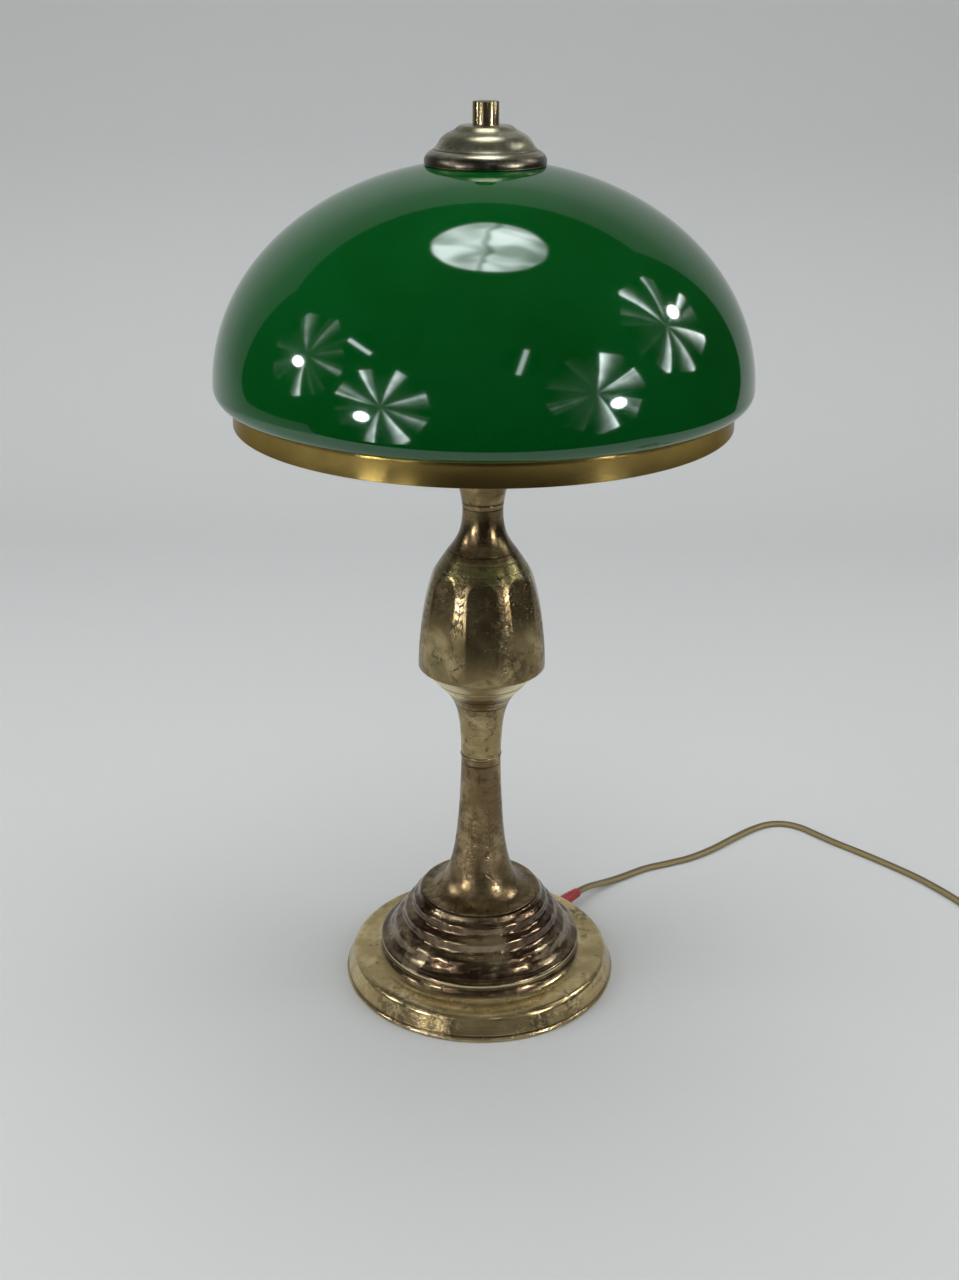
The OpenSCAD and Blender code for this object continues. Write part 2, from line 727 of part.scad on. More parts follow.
module holder_right() { color([0.7, 0.58, 0.32]) light_place(0) holder(); }
module holder_left() { color([0.7, 0.58, 0.32]) light_place(180) holder(); }
module holder_insert_right() { color([0.92, 0.9, 0.85]) light_place(0) holder_insert(); }
module holder_insert_left() { color([0.92, 0.9, 0.85]) light_place(180) holder_insert(); }
module bulb_cap_right() { color([0.75, 0.75, 0.74]) light_place(0) bulb_cap(); }
module bulb_cap_left() { color([0.75, 0.75, 0.74]) light_place(180) bulb_cap(); }
module bulb_right() { color([0.97, 0.96, 0.92]) light_place(0) bulb(); }
module bulb_left() { color([0.97, 0.96, 0.92]) light_place(180) bulb(); }

module holder_leads() {
    start = (block_w / 2 + 0.6) / cos(holder_tilt);
    color([0.25, 0.2, 0.16]) for (side = [0, 180]) light_place(side)
        for (y = [-lead_gap, lead_gap])
            translate([0, y, start]) cylinder(r = core_r, h = insert_start - start);
}

module terminal_block() {
    color([0.9, 0.88, 0.82]) translate([0, 0, block_z]) difference() {
        translate([-block_w / 2, -block_w / 2, 0]) cube([block_w, block_w, block_h]);
        for (y = [-1, 1], x = [-1, 1]) translate([x * 2.4, y * 2.4, block_h - 3]) cylinder(r = 1.2, h = 4);
    }
}

// Cord parts. Where the cord leaves the base, +Z of a child runs outward along the exit
sleeve_r = 4;
sleeve_in = base_r - 8;
sleeve_out = base_r - 1.8 + sleeve_l;

module exit_place(r) {
    rotate([0, 0, exit_angle]) translate([r, 0, exit_z]) rotate([0, 90, 0]) children();
}

module cord_sleeve() {
    color([0.72, 0.1, 0.13]) difference() {
        union() {
            exit_place(sleeve_in) cylinder(r = sleeve_r, h = base_r - sleeve_in);
            exit_place(base_r) cylinder(r1 = sleeve_r, r2 = sleeve_r - 0.8, h = sleeve_out - base_r);
        }
        exit_place(sleeve_in - 1) cylinder(r = cord_w / 2 + 0.1, h = sleeve_out - sleeve_in + 2);
    }
}

// A flat tube swept along points: rings of the cord's section, square to the route
function tangent(p, i) = unit(p[min(i + 1, len(p) - 1)] - p[max(i - 1, 0)]);
function ring_of(p, along, across, sides) =
    let (lift = cross(along, across), turn = sides == 6 ? 0 : 180 / sides,
         wide = cord_w / 2 / cos(turn), high = cord_t / 2 / sin(90 - (sides == 6 ? 30 : turn)))
    [for (k = [0:sides - 1]) let (a = 360 * k / sides + turn)
        p + across * cos(a) * wide + lift * sin(a) * high];
function tube_faces(rings, sides) = concat(
    [[for (k = [0:sides - 1]) k]],
    [[for (k = [sides - 1:-1:0]) (rings - 1) * sides + k]],
    [for (i = [0:rings - 2], k = [0:sides - 1]) let (a = i * sides + k, b = i * sides + (k + 1) % sides)
        each [[a, a + sides, b], [b, a + sides, b + sides]]]);
function between(a, b, c, d, t) =
    0.5 * (2 * b + (c - a) * t + (2 * a - 5 * b + 4 * c - d) * t * t + (3 * b - a - 3 * c + d) * t * t * t);
function softened(p) = concat(
    [for (i = [0:len(p) - 2], t = [0, 0.5])
        let (q = between(p[max(i - 1, 0)], p[i], p[i + 1], p[min(i + 2, len(p) - 1)], t))
        [q[0], q[1], max(q[2], lie_z)]],
    [p[len(p) - 1]]);

module flat_tube(route, sides) {
    rings = [for (i = [0:len(route) - 1]) let (along = tangent(route, i))
        each ring_of(route[i], along, unit(cross([0, 0, 1], along)), sides)];
    polyhedron(points = rings, faces = tube_faces(len(route), sides));
}

module planar_tube(route, across) {
    rings = [for (i = [0:len(route) - 1]) each ring_of(route[i], tangent(route, i), across, 8)];
    polyhedron(points = rings, faces = tube_faces(len(route), 8));
}

lie_z = cord_t / 2; // height of the cord's middle where it lies on the table
cord_route = [
    [67.25, 74.69, 7.4], [68.92, 76.54, 7.4], [70.53, 78.33, 7.4], [76.4, 84.6, 6.4], [83.4, 91.4, 4.4],
    [91.6, 98.4, 2.6], [102, 106, 1.8],
    [118, 117, 1.7], [135, 124.5, 1.7], [152, 132.5, 1.7], [170, 145.5, 1.7], [192, 165.5, 1.7],
    [206, 177, 1.7], [218, 183.5, 1.7], [230, 184, 1.7], [241, 178.5, 1.7], [251, 168, 1.7],
    [262, 156.5, 1.7], [285, 134.5, 1.7], [308, 110, 1.7], [323, 89.5, 1.7], [335, 69, 1.7],
    [344, 51, 1.7], [350, 33, 2], [352, 19, 3.6], [352, 8, 6], [352, 0, 6], [352, -8, 6]];

module cord() {
    color([0.5, 0.44, 0.24]) flat_tube(softened(cord_route), 8);
}

// The inner lead runs in through the sleeve, under the weight and up the hollow rod
lead_path = [
    [sleeve_out, 7.4], [72, 7.4], [52, 6.2], [34, 5], [20, 4.8], [12, 5.2], [6.2, 6.6], [2.6, 9.2],
    [0.7, 12.6], [0.2, 18], [0, 24], [0, 90], [0, 180], [0, 270], [0, block_z]];
exit_dir = [cos(exit_angle), sin(exit_angle), 0];

module inner_lead() {
    color([0.5, 0.44, 0.24]) planar_tube(
        [for (p = lead_path) exit_dir * p[0] + [0, 0, p[1]]], cross([0, 0, 1], exit_dir));
}

// The cord switch lies along Y past the end of the cord's first stretch
switch_x = 352;
switch_y = -36;
gland_l = 7;
gland_r = 4.6;
switch_cord_z = 6;
switch_split = 8.5;
switch_wall = 1.8;
switch_chamfer = 1.5;
pivot_z = 11.5;
pivot_r = 1.4;
cheek_t = 2;
rocker_top = 5.5;
screw_x = 7.5;
screw_y = 18;
screw_r = 1.2;
boss_out_r = 3;
core_end = switch_l / 2 - switch_wall - 1.2;

module switch_place() {
    translate([switch_x, switch_y, 0]) children();
}

module switch_outline(inset = 0) {
    r = switch_w / 2 - inset;
    square([2 * r, switch_l - switch_w], center = true);
    for (y = [-1, 1]) translate([0, y * (switch_l - switch_w) / 2]) circle(r = r);
}

module switch_screw_places(z) {
    for (side = [-1, 1]) translate([side * screw_x, -side * screw_y, z]) children();
}

module switch_glands() {
    for (side = [-1, 1]) translate([0, side * (switch_l / 2 - 3), switch_cord_z]) rotate([-90 * side, 0, 0])
        cylinder(r = gland_r, h = gland_l + 3);
}

module switch_cord_hole() {
    translate([0, 0, switch_cord_z]) rotate([90, 0, 0])
        cylinder(r = cord_w / 2 + 0.1, h = switch_l + 2 * gland_l + 2, center = true);
}

module switch_hollow(from, to) {
    difference() {
        translate([0, 0, from]) linear_extrude(to - from) switch_outline(switch_wall);
        switch_screw_places(from - 1) cylinder(r = boss_out_r, h = to - from + 2);
    }
}

module below_split() {
    intersection() {
        children();
        translate([-switch_w, -switch_l, 0]) cube([2 * switch_w, 2 * switch_l, switch_split]);
    }
}

module above_split() {
    intersection() {
        children();
        translate([-switch_w, -switch_l, switch_split]) cube([2 * switch_w, 2 * switch_l, switch_h]);
    }
}

module switch_base() {
    color([0.2, 0.13, 0.08]) switch_place() difference() {
        union() {
            linear_extrude(switch_split) switch_outline();
            below_split() switch_glands();
        }
        switch_hollow(switch_wall, switch_split + 1);
        switch_cord_hole();
        switch_screw_places(-1) cylinder(r = screw_r + slip, h = switch_split + 2);
        switch_screw_places(-1) cylinder(r = 2.9, h = 2.6);
    }
}

module switch_cover() {
    color([0.22, 0.14, 0.09]) switch_place() difference() {
        union() {
            difference() {
                union() {
                    translate([0, 0, switch_split])
                        linear_extrude(switch_h - switch_chamfer - switch_split) switch_outline();
                    translate([0, 0, switch_h - switch_chamfer])
                        linear_extrude(switch_chamfer) switch_outline(switch_chamfer / 2);
                    above_split() switch_glands();
                }
                switch_hollow(switch_split - 1, switch_h - switch_wall);
            }
            for (side = [-1, 1])
                translate([side * (rocker_w / 2 + fit + cheek_t / 2) - cheek_t / 2, -4, switch_split])
                cube([cheek_t, 8, switch_h - switch_wall / 2 - switch_split]);
        }
        switch_cord_hole();
        cube([rocker_w + 2 * fit, rocker_l + 2 * fit, 4 * switch_h], center = true);
        switch_screw_places(switch_split - 1) cylinder(r = screw_r + slip, h = 4);
        translate([0, 0, pivot_z]) rotate([0, 90, 0])
            cylinder(r = pivot_r + slip, h = rocker_w + 2 * (fit + cheek_t) + 0.02, center = true);
    }
}

module switch_rocker() {
    r = rocker_l / 2;
    color([0.3, 0.2, 0.12]) switch_place() translate([0, 0, pivot_z]) rotate([-rocker_tilt, 0, 0]) {
        intersection() {
            rotate([0, 90, 0]) cylinder(r = r, h = rocker_w, center = true);
            rotate([90, 0, 90]) linear_extrude(rocker_w + 2, center = true)
                polygon([[-2 * r, -3], [2 * r, -3], [2 * r, rocker_top + 1.5], [0, rocker_top - 1.2],
                         [-2 * r, rocker_top + 1.5]]);
        }
        rotate([0, 90, 0]) cylinder(r = pivot_r, h = rocker_w + 2 * (fit + cheek_t) - 0.4, center = true);
    }
}

contact_l = 6;
contact_w = 5;
contact_gap = 0.5; // between a contact block and the screw boss beside it
contact_y = screw_y - boss_out_r - contact_gap - contact_l / 2;
contact_x = -3.4;

module switch_contacts() {
    color([0.75, 0.62, 0.3]) switch_place() for (side = [-1, 1])
        translate([contact_x - contact_w / 2, side * contact_y - contact_l / 2, switch_wall]) difference() {
            cube([contact_w, contact_l, contact_w]);
            translate([contact_w / 2, contact_l / 2, contact_w - 2]) cylinder(r = 1, h = 2 + past);
        }
}

module switch_leads() {
    near = contact_y + contact_l / 2;
    color([0.45, 0.3, 0.2]) switch_place() {
        translate([2.2, 0, switch_cord_z]) rotate([90, 0, 0])
            cylinder(r = core_r - 0.1, h = 2 * core_end, center = true);
        for (side = [-1, 1]) translate([-2.2, side * near, switch_cord_z - 0.4]) rotate([-90 * side, 0, 0])
            cylinder(r = core_r - 0.1, h = core_end - near);
    }
}

module switch_screws() {
    color([0.75, 0.72, 0.66]) switch_place() {
        switch_screw_places(switch_wall - 0.2) cylinder(r = screw_r, h = switch_split + 1);
        switch_screw_places(0.2) difference() {
            cylinder(r = 2.7, h = 1.4);
            translate([-3, -0.4, -1]) cube([6, 0.8, 1.6]);
        }
    }
}

// From the switch to the coil
link_route = [
    [352, -64, 6], [352, -70, 6], [352, -76, 6], [352, -82, 5.2], [352.3, -88, 3.4], [353.6, -93.6, 2.1],
    [356.8, -99.6, 1.7], [361.8, -105, 1.7], [368.4, -109.4, 1.7], [376, -111.8, 1.7], [384, -112.2, 1.7],
    [396, -112.2, 1.7], [409, -112.2, 1.7]];

module cord_link() {
    color([0.5, 0.44, 0.24]) flat_tube(softened(link_route), 8);
}

// The put-away length: turns spiral in on the table, climb one layer and spiral out again
coil_x = 415;
coil_y = -75;
coil_out_r = 37.2;
coil_in_turns = 3.25;
coil_gap = 0.6; // between turns of one layer
layer_gap = 0.5; // between the two layers
coil_rings = 24;
coil_sides = 6;
coil_pitch = cord_w + coil_gap;
coil_climb = cord_t + layer_gap;
coil_middle = coil_in_turns * full_turn;
coil_sweep = 2 * coil_middle;
climb_turn = 180; // angle over which the cord climbs to the second layer
function coil_radius(a) = coil_out_r - coil_pitch / full_turn * min(a, coil_sweep - a);
function coil_point(a) = [
    coil_x + coil_radius(a) * cos(a - 90),
    coil_y + coil_radius(a) * sin(a - 90),
    lie_z + coil_climb * smooth((a - coil_middle + climb_turn / 2) / climb_turn)];
coil_steps = coil_sweep / full_turn * coil_rings;
coil_route = concat(
    [coil_point(0) - [cord_w + 0.8, 0, 0]],
    [for (i = [0:coil_steps]) coil_point(i * 360 / coil_rings)],
    [coil_point(coil_sweep) - [cord_w, 0, 0]]);

module cord_coil() {
    color([0.5, 0.44, 0.24]) flat_tube(coil_route, coil_sides);
}

// Least gap of the coil to itself, between its six-sided sections at the same angle of two turns
section_slope = [cord_t / 2, cord_w / 4];
function section_gap(across, up) = max(
    up - cord_t, across - cord_w,
    (section_slope * [across, up] - cord_w * cord_t / 2) / norm(section_slope));
coil_gaps = [for (i = [0:coil_steps], j = [i + coil_rings:coil_rings:coil_steps])
    let (p = coil_route[i + 1], q = coil_route[j + 1])
    section_gap(norm([p[0] - q[0], p[1] - q[1]]), abs(p[2] - q[2]))];
echo(least_coil_gap = min(coil_gaps));

// From the coil to the plug
tail_route = [
    [409.8, -37.8, 5.6], [408.4, -37.8, 5.6], [407, -37.8, 5.6], [402.6, -37, 5.5], [398, -34.6, 4.6],
    [393.6, -30.8, 3.2], [389.6, -25.4, 2],
    [387.2, -19.6, 1.7], [386, -13, 1.7], [385.8, -5, 1.8], [385.8, 4, 2.6], [385.8, 12, 4.4],
    [385.8, 19, 6.2], [385.8, 25, 6.85], [385.8, 30, 6.85], [385.8, 40, 6.85]];

module cord_tail() {
    color([0.5, 0.44, 0.24]) flat_tube(softened(tail_route), 8);
}

plug_x = 385.8;
plug_y = 27;
plug_neck_l = 13;
plug_face_y = plug_neck_l + plug_l;
plug_rear_w = 14;
plug_socket = 8;

module plug_plan() {
    polygon([[-4.4, 0], [4.4, 0], [4.8, plug_neck_l], [plug_rear_w / 2, plug_neck_l + 1],
             [plug_w / 2 - 1, plug_face_y - 13], [plug_w / 2, plug_face_y - 11],
             [plug_w / 2, plug_face_y - 1],
             [plug_w / 2 - 1, plug_face_y], [1 - plug_w / 2, plug_face_y], [-plug_w / 2, plug_face_y - 1],
             [-plug_w / 2, plug_face_y - 11], [1 - plug_w / 2, plug_face_y - 13],
             [-plug_rear_w / 2, plug_neck_l + 1], [-4.8, plug_neck_l]]);
}

module plug_side() {
    h = plug_t / 2;
    polygon([[0, 3.6], [plug_neck_l, 4], [plug_neck_l + 2, h - 2], [plug_face_y - 14, h],
             [plug_face_y - 1, h], [plug_face_y, h - 1], [plug_face_y, 1 - h], [plug_face_y - 1, -h],
             [plug_face_y - 14, -h], [plug_neck_l + 2, 2 - h], [plug_neck_l, -4], [0, -3.6]]);
}

module plug_place() {
    translate([plug_x, plug_y, plug_t / 2]) children();
}

module pin_places() {
    for (side = [-1, 1]) translate([side * pin_gap / 2, plug_face_y, 0]) rotate([-90, 0, 0]) children();
}

module plug_body() {
    color([0.16, 0.11, 0.08]) plug_place() difference() {
        intersection() {
            translate([0, 0, -plug_t / 2]) linear_extrude(plug_t) plug_plan();
            rotate([90, 0, 90]) linear_extrude(plug_w + 2, center = true) plug_side();
        }
        translate([0, -1, 0]) rotate([-90, 0, 0]) cylinder(r = cord_w / 2 + 0.1, h = plug_neck_l + 1);
        pin_places() translate([0, 0, -plug_socket]) cylinder(r = pin_r + slip, h = plug_socket + 1);
    }
}

module plug_pins() {
    color([0.78, 0.76, 0.7]) plug_place() pin_places() rotate_extrude() polygon([
        [0, -plug_socket], [pin_r, -plug_socket], [pin_r, pin_l - 1], [pin_r - 0.6, pin_l - 0.2],
        [pin_r - 1, pin_l], [0, pin_l]]);
}

finial();
shade_cap();
cap_felt();
glass_shade();
shade_ring();
ring_strip();
shade_spider();
spider_screws();
top_rod();
rod_nuts();
wiring_box();
wiring_box_lid();
box_nut();
terminal_block();
holder_nipples();
holder_right();
holder_insert_right();
bulb_cap_right();
bulb_right();
holder_left();
holder_insert_left();
bulb_cap_left();
bulb_left();
holder_leads();
neck_collar();
bell_neck();
bell();
bell_cup();
upper_stem();
lower_stem();
stepped_dome();
base_dish();
stem_tube();
base_weight();
base_washer();
base_nut();
base_plate();
base_felt();
cord_sleeve();
inner_lead();
cord();
switch_base();
switch_cover();
switch_rocker();
switch_contacts();
switch_leads();
switch_screws();
cord_link();
cord_coil();
cord_tail();
plug_body();
plug_pins();
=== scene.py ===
"""Desk lamp with a domed green glass shade in a brass ring, on a turned and fluted brass column.

Sizes are written in millimetres, measured from the centre of the base on the table, and are turned into metres
where a mesh is made. Each sub-assembly is a class that builds its own pieces and gives them their finish.
"""
import logging
import math
from collections.abc import Callable, Sequence
from dataclasses import dataclass, field
from enum import Enum
from itertools import pairwise

import bmesh
import bpy
from mathutils import Matrix, Vector


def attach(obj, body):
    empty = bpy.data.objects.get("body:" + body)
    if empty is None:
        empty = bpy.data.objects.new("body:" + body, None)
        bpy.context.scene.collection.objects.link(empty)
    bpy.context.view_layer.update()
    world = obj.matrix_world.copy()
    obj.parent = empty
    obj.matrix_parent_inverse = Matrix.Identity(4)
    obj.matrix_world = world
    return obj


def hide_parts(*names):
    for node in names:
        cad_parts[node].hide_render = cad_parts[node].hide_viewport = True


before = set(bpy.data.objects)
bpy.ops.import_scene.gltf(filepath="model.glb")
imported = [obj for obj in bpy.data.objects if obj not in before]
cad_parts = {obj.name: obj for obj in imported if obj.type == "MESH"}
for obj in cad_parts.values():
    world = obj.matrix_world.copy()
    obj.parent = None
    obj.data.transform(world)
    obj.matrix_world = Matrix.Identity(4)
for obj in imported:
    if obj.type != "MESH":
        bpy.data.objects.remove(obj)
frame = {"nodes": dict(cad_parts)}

LOG = logging.getLogger("desk_lamp")
MM = 0.001
PICTURE_SIZE = (959, 1280)

Point = tuple[float, float]
Route = list[Vector]
Colour = tuple[float, float, float]


class Body(Enum):
    """The moving bodies of the lamp."""

    BASE = "base"
    SHADE = "shade"
    CROWN = "crown"
    FINIAL = "finial"
    ROCKER = "rocker"


def arc(centre: Point, radius: float, start: float, end: float, steps: int = 12) -> list[Point]:
    """Points on a circular arc.

    Args:
        centre: The arc's centre, as radius and height.
        radius: The arc's radius.
        start: The first angle in degrees.
        end: The last angle in degrees.
        steps: How many chords the arc has.

    Returns:
        The points from the first angle to the last.
    """
    return ellipse(centre, radius, radius, start, end, steps)


def ellipse(centre: Point, wide: float, high: float, start: float, end: float, steps: int = 24) -> list[Point]:
    """Points on part of an ellipse.

    Args:
        centre: The ellipse's centre, as radius and height.
        wide: Its half axis across.
        high: Its half axis upward.
        start: The first angle in degrees.
        end: The last angle in degrees.
        steps: How many chords the stretch has.

    Returns:
        The points from the first angle to the last.
    """
    angles = [math.radians(start + (end - start) * i / steps) for i in range(steps + 1)]
    return [(centre[0] + wide * math.cos(a), centre[1] + high * math.sin(a)) for a in angles]


def bend(a: Point, b: Point, c: Point, d: Point, steps: int = 20) -> list[Point]:
    """Points on a smooth bend from a to d that starts towards b and comes in from c.

    Args:
        a: The first point.
        b: The point it sets out towards.
        c: The point it comes in from.
        d: The last point.
        steps: How many chords the bend has.

    Returns:
        The points from a to d.
    """
    points = []
    for i in range(steps + 1):
        t, s = i / steps, 1 - i / steps
        weights = (s**3, 3 * s * s * t, 3 * s * t * t, t**3)
        points.append(tuple(sum(w * p[k] for w, p in zip(weights, (a, b, c, d))) for k in (0, 1)))
    return points


def inside(line: Sequence[Point], wall: float) -> list[Point]:
    """The inner face of a wall whose outer face runs upward.

    Args:
        line: The outer face's points.
        wall: The wall's thickness.

    Returns:
        The inner face's points, in the same order.
    """
    points = [Vector(p) for p in line]
    moved = []
    for i, point in enumerate(points):
        before = (points[max(i, 1)] - points[max(i, 1) - 1]).normalized()
        last = min(i, len(points) - 2)
        after = (points[last + 1] - points[last]).normalized()
        normal_before, normal_after = Vector((-before.y, before.x)), Vector((-after.y, after.x))
        side = (normal_before + normal_after).normalized()
        moved.append(tuple(point + side * wall / max(0.3, side.dot(normal_before))))
    return moved


def shell(line: Sequence[Point], wall: float) -> list[Point]:
    """The closed outline of a wall of even thickness inside an outer face.

    Args:
        line: The outer face's points, running upward.
        wall: The wall's thickness.

    Returns:
        The closed outline.
    """
    return [*line, *reversed(inside(line, wall))]


def select_nothing() -> None:
    """Leave no object selected and no edit mode open."""
    if bpy.context.object and bpy.context.object.mode != "OBJECT":
        bpy.ops.object.mode_set(mode="OBJECT")
    bpy.ops.object.select_all(action="DESELECT")


def finish_mesh(piece: bpy.types.Object, angle: float = 35) -> bpy.types.Object:
    """Close a mesh, turn its faces outward and smooth all but its sharp edges.

    Args:
        piece: The object, in edit or object mode.
        angle: The angle in degrees over which an edge stays sharp.

    Returns:
        The same object.
    """
    bpy.context.view_layer.objects.active = piece
    bpy.ops.object.mode_set(mode="EDIT")
    bpy.ops.mesh.select_all(action="SELECT")
    bpy.ops.mesh.remove_doubles(threshold=0.002 * MM)
    bpy.ops.mesh.normals_make_consistent(inside=False)
    bpy.ops.object.mode_set(mode="OBJECT")
    select_nothing()
    piece.select_set(True)
    bpy.ops.object.shade_smooth_by_angle(angle=math.radians(angle))
    bpy.ops.object.transform_apply(location=True, rotation=True, scale=True)
    return piece


def turn(name: str, outline: Sequence[Point], steps: int = 144, angle: float = 35) -> bpy.types.Object:
    """Turn a closed outline round the column's axis, as on a lathe.

    Args:
        name: The new piece's name.
        outline: The closed outline's points, as radius and height in millimetres.
        steps: How many strips go round the piece.
        angle: The angle in degrees over which an edge stays sharp.

    Returns:
        The finished piece.
    """
    select_nothing()
    bpy.ops.mesh.primitive_plane_add(size=MM)
    piece = bpy.context.object
    piece.name = piece.data.name = name
    bpy.ops.object.mode_set(mode="EDIT")
    bpy.ops.mesh.select_all(action="SELECT")
    bpy.ops.mesh.merge(type="CENTER")
    start = Vector((outline[0][0], 0, outline[0][1])) * MM
    bpy.ops.transform.translate(value=start)
    for here, there in pairwise([*outline, outline[0]]):
        step = Vector((there[0] - here[0], 0, there[1] - here[1])) * MM
        bpy.ops.mesh.extrude_region_move(TRANSFORM_OT_translate={"value": step})
    bpy.ops.mesh.select_all(action="SELECT")
    bpy.ops.mesh.remove_doubles(threshold=0.002 * MM)
    bpy.ops.mesh.spin(steps=steps, angle=math.tau, center=(0, 0, 0), axis=(0, 0, 1))
    return finish_mesh(piece, angle)


def reshape(piece: bpy.types.Object, move: Callable[[Vector], Vector]) -> None:
    """Move each corner of a piece by a rule.

    Args:
        piece: The piece.
        move: Gives a corner's new place from its old one, both in millimetres.
    """
    for corner in piece.data.vertices:
        corner.co = move(corner.co / MM) * MM
    piece.data.update()


def place(piece: bpy.types.Object, body: Body, nodes: Sequence[str]) -> bpy.types.Object:
    """Let a piece stand for its plain solids and ride on their body.

    Args:
        piece: The piece.
        body: The body it moves with.
        nodes: The plain solids that it stands for.

    Returns:
        The same piece.
    """
    if nodes:
        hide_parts(*nodes)
    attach(piece, body.value)
    LOG.info("%s made, %d faces", piece.name, len(piece.data.polygons))
    return piece


def clad(piece: bpy.types.Object, material: bpy.types.Material) -> None:
    """Give a piece one material all over.

    Args:
        piece: The piece.
        material: Its material.
    """
    piece.data.materials.clear()
    piece.data.materials.append(material)


class Graph:
    """Writes the nodes of one material."""

    def __init__(self, name: str) -> None:
        """Start a material that holds a surface shader.

        Args:
            name: The material's name.
        """
        self.material = bpy.data.materials.new(name)
        self.material.use_nodes = True
        self.tree = self.material.node_tree
        self.shader = self.tree.nodes["Principled BSDF"]
        self.output = self.tree.nodes["Material Output"]
        self.place = self.tree.nodes.new("ShaderNodeTexCoord").outputs["Object"]
        self.normal = None

    def put(self, socket: bpy.types.NodeSocket, value: object) -> None:
        """Link an output to a socket, or write a plain value on it.

        Args:
            socket: The socket to feed.
            value: An output, a number or a colour.
        """
        if isinstance(value, bpy.types.NodeSocket):
            self.tree.links.new(value, socket)
        elif isinstance(value, tuple) and len(value) == 3 and socket.type == "RGBA":
            socket.default_value = (*value, 1)
        else:
            socket.default_value = value

    def node(self, kind: str, inputs: dict[str | int, object] | None = None, **settings: object) -> bpy.types.Node:
        """Add a node.

        Args:
            kind: The node's type.
            inputs: What feeds its sockets.
            **settings: Its other settings.

        Returns:
            The new node.
        """
        made = self.tree.nodes.new(kind)
        for key, value in settings.items():
            setattr(made, key, value)
        for key, value in (inputs or {}).items():
            self.put(made.inputs[key], value)
        return made

    def math(self, operation: str, first: object, second: object = 0.0) -> bpy.types.NodeSocket:
        """Work out one number.

        Args:
            operation: The operation's name.
            first: The first number.
            second: The second number.

        Returns:
            The result.
        """
        return self.node("ShaderNodeMath", {0: first, 1: second}, operation=operation).outputs[0]

    def split(self, vector: bpy.types.NodeSocket | None = None) -> tuple[bpy.types.NodeSocket, ...]:
        """Take a vector apart.

        Args:
            vector: The vector, or nothing for the place on the piece.

        Returns:
            Its three parts.
        """
        parts = self.node("ShaderNodeSeparateXYZ", {0: vector or self.place}).outputs
        return parts[0], parts[1], parts[2]

    def join(self, x: object, y: object, z: object) -> bpy.types.NodeSocket:
        """Make a vector of three parts.

        Args:
            x: The first part.
            y: The second part.
            z: The third part.

        Returns:
            The vector.
        """
        return self.node("ShaderNodeCombineXYZ", {0: x, 1: y, 2: z}).outputs[0]

    def noise(self, scale: float, detail: float = 4, rough: float = 0.55, at: object = None,
              warp: float = 0.0) -> bpy.types.NodeSocket:
        """A cloudy pattern.

        Args:
            scale: How many features there are in a metre.
            detail: How many finer layers it has.
            rough: How strong the finer layers are.
            at: The place it is read at, or nothing for the place on the piece.
            warp: How much it is twisted.

        Returns:
            A number about 0.5.
        """
        feeds = {"Vector": at or self.place, "Scale": scale, "Detail": detail, "Roughness": rough,
                 "Distortion": warp}
        return self.node("ShaderNodeTexNoise", feeds).outputs["Fac"]

    def cells(self, scale: float, at: object = None, feature: str = "F1") -> bpy.types.NodeSocket:
        """The distance to scattered points.

        Args:
            scale: How many points there are in a metre.
            at: The place it is read at, or nothing for the place on the piece.
            feature: Which distance is given.

        Returns:
            The distance.
        """
        feeds = {"Vector": at or self.place, "Scale": scale}
        return self.node("ShaderNodeTexVoronoi", feeds, feature=feature).outputs["Distance"]

    def step(self, value: object, low: float, high: float, to_low: float = 0.0,
             to_high: float = 1.0) -> bpy.types.NodeSocket:
        """Turn a number smoothly from one level to another.

        Args:
            value: The number.
            low: Where the change starts.
            high: Where the change ends.
            to_low: The level before it.
            to_high: The level after it.

        Returns:
            The level.
        """
        feeds = {0: value, 1: low, 2: high, 3: to_low, 4: to_high}
        return self.node("ShaderNodeMapRange", feeds, interpolation_type="SMOOTHSTEP").outputs[0]

    def band(self, value: object, centre: float, half: float, soft: float) -> bpy.types.NodeSocket:
        """A band that is 1 about a value and 0 away from it.

        Args:
            value: The number.
            centre: The band's middle.
            half: Half the band's width.
            soft: The width of its soft edge.

        Returns:
            How far the number is inside the band.
        """
        away = self.math("ABSOLUTE", self.math("SUBTRACT", value, centre))
        return self.step(away, half, half + soft, 1.0, 0.0)

    def mix(self, share: object, first: object, second: object, blend: str = "MIX") -> bpy.types.NodeSocket:
        """Blend two colours.

        Args:
            share: The share of the second colour.
            first: The first colour.
            second: The second colour.
            blend: How they are blended.

        Returns:
            The blended colour.
        """
        made = self.node("ShaderNodeMix", {0: share}, data_type="RGBA", blend_type=blend)
        self.put(made.inputs[6], first)
        self.put(made.inputs[7], second)
        return made.outputs[2]

    def bump(self, height: object, strength: float, depth: float) -> None:
        """Lay relief over the surface.

        Args:
            height: The relief's height, from 0 to 1.
            strength: How strongly it shows.
            depth: The full height in metres.
        """
        feeds = {"Height": height, "Strength": strength, "Distance": depth}
        if self.normal:
            feeds["Normal"] = self.normal
        self.normal = self.node("ShaderNodeBump", feeds).outputs[0]

    def done(self, **surface: object) -> bpy.types.Material:
        """Feed the surface shader.

        Args:
            **surface: The shader's values, named with underscores for spaces.

        Returns:
            The finished material.
        """
        for key, value in surface.items():
            self.put(self.shader.inputs[key.replace("_", " ")], value)
        if self.normal:
            self.put(self.shader.inputs["Normal"], self.normal)
        return self.material


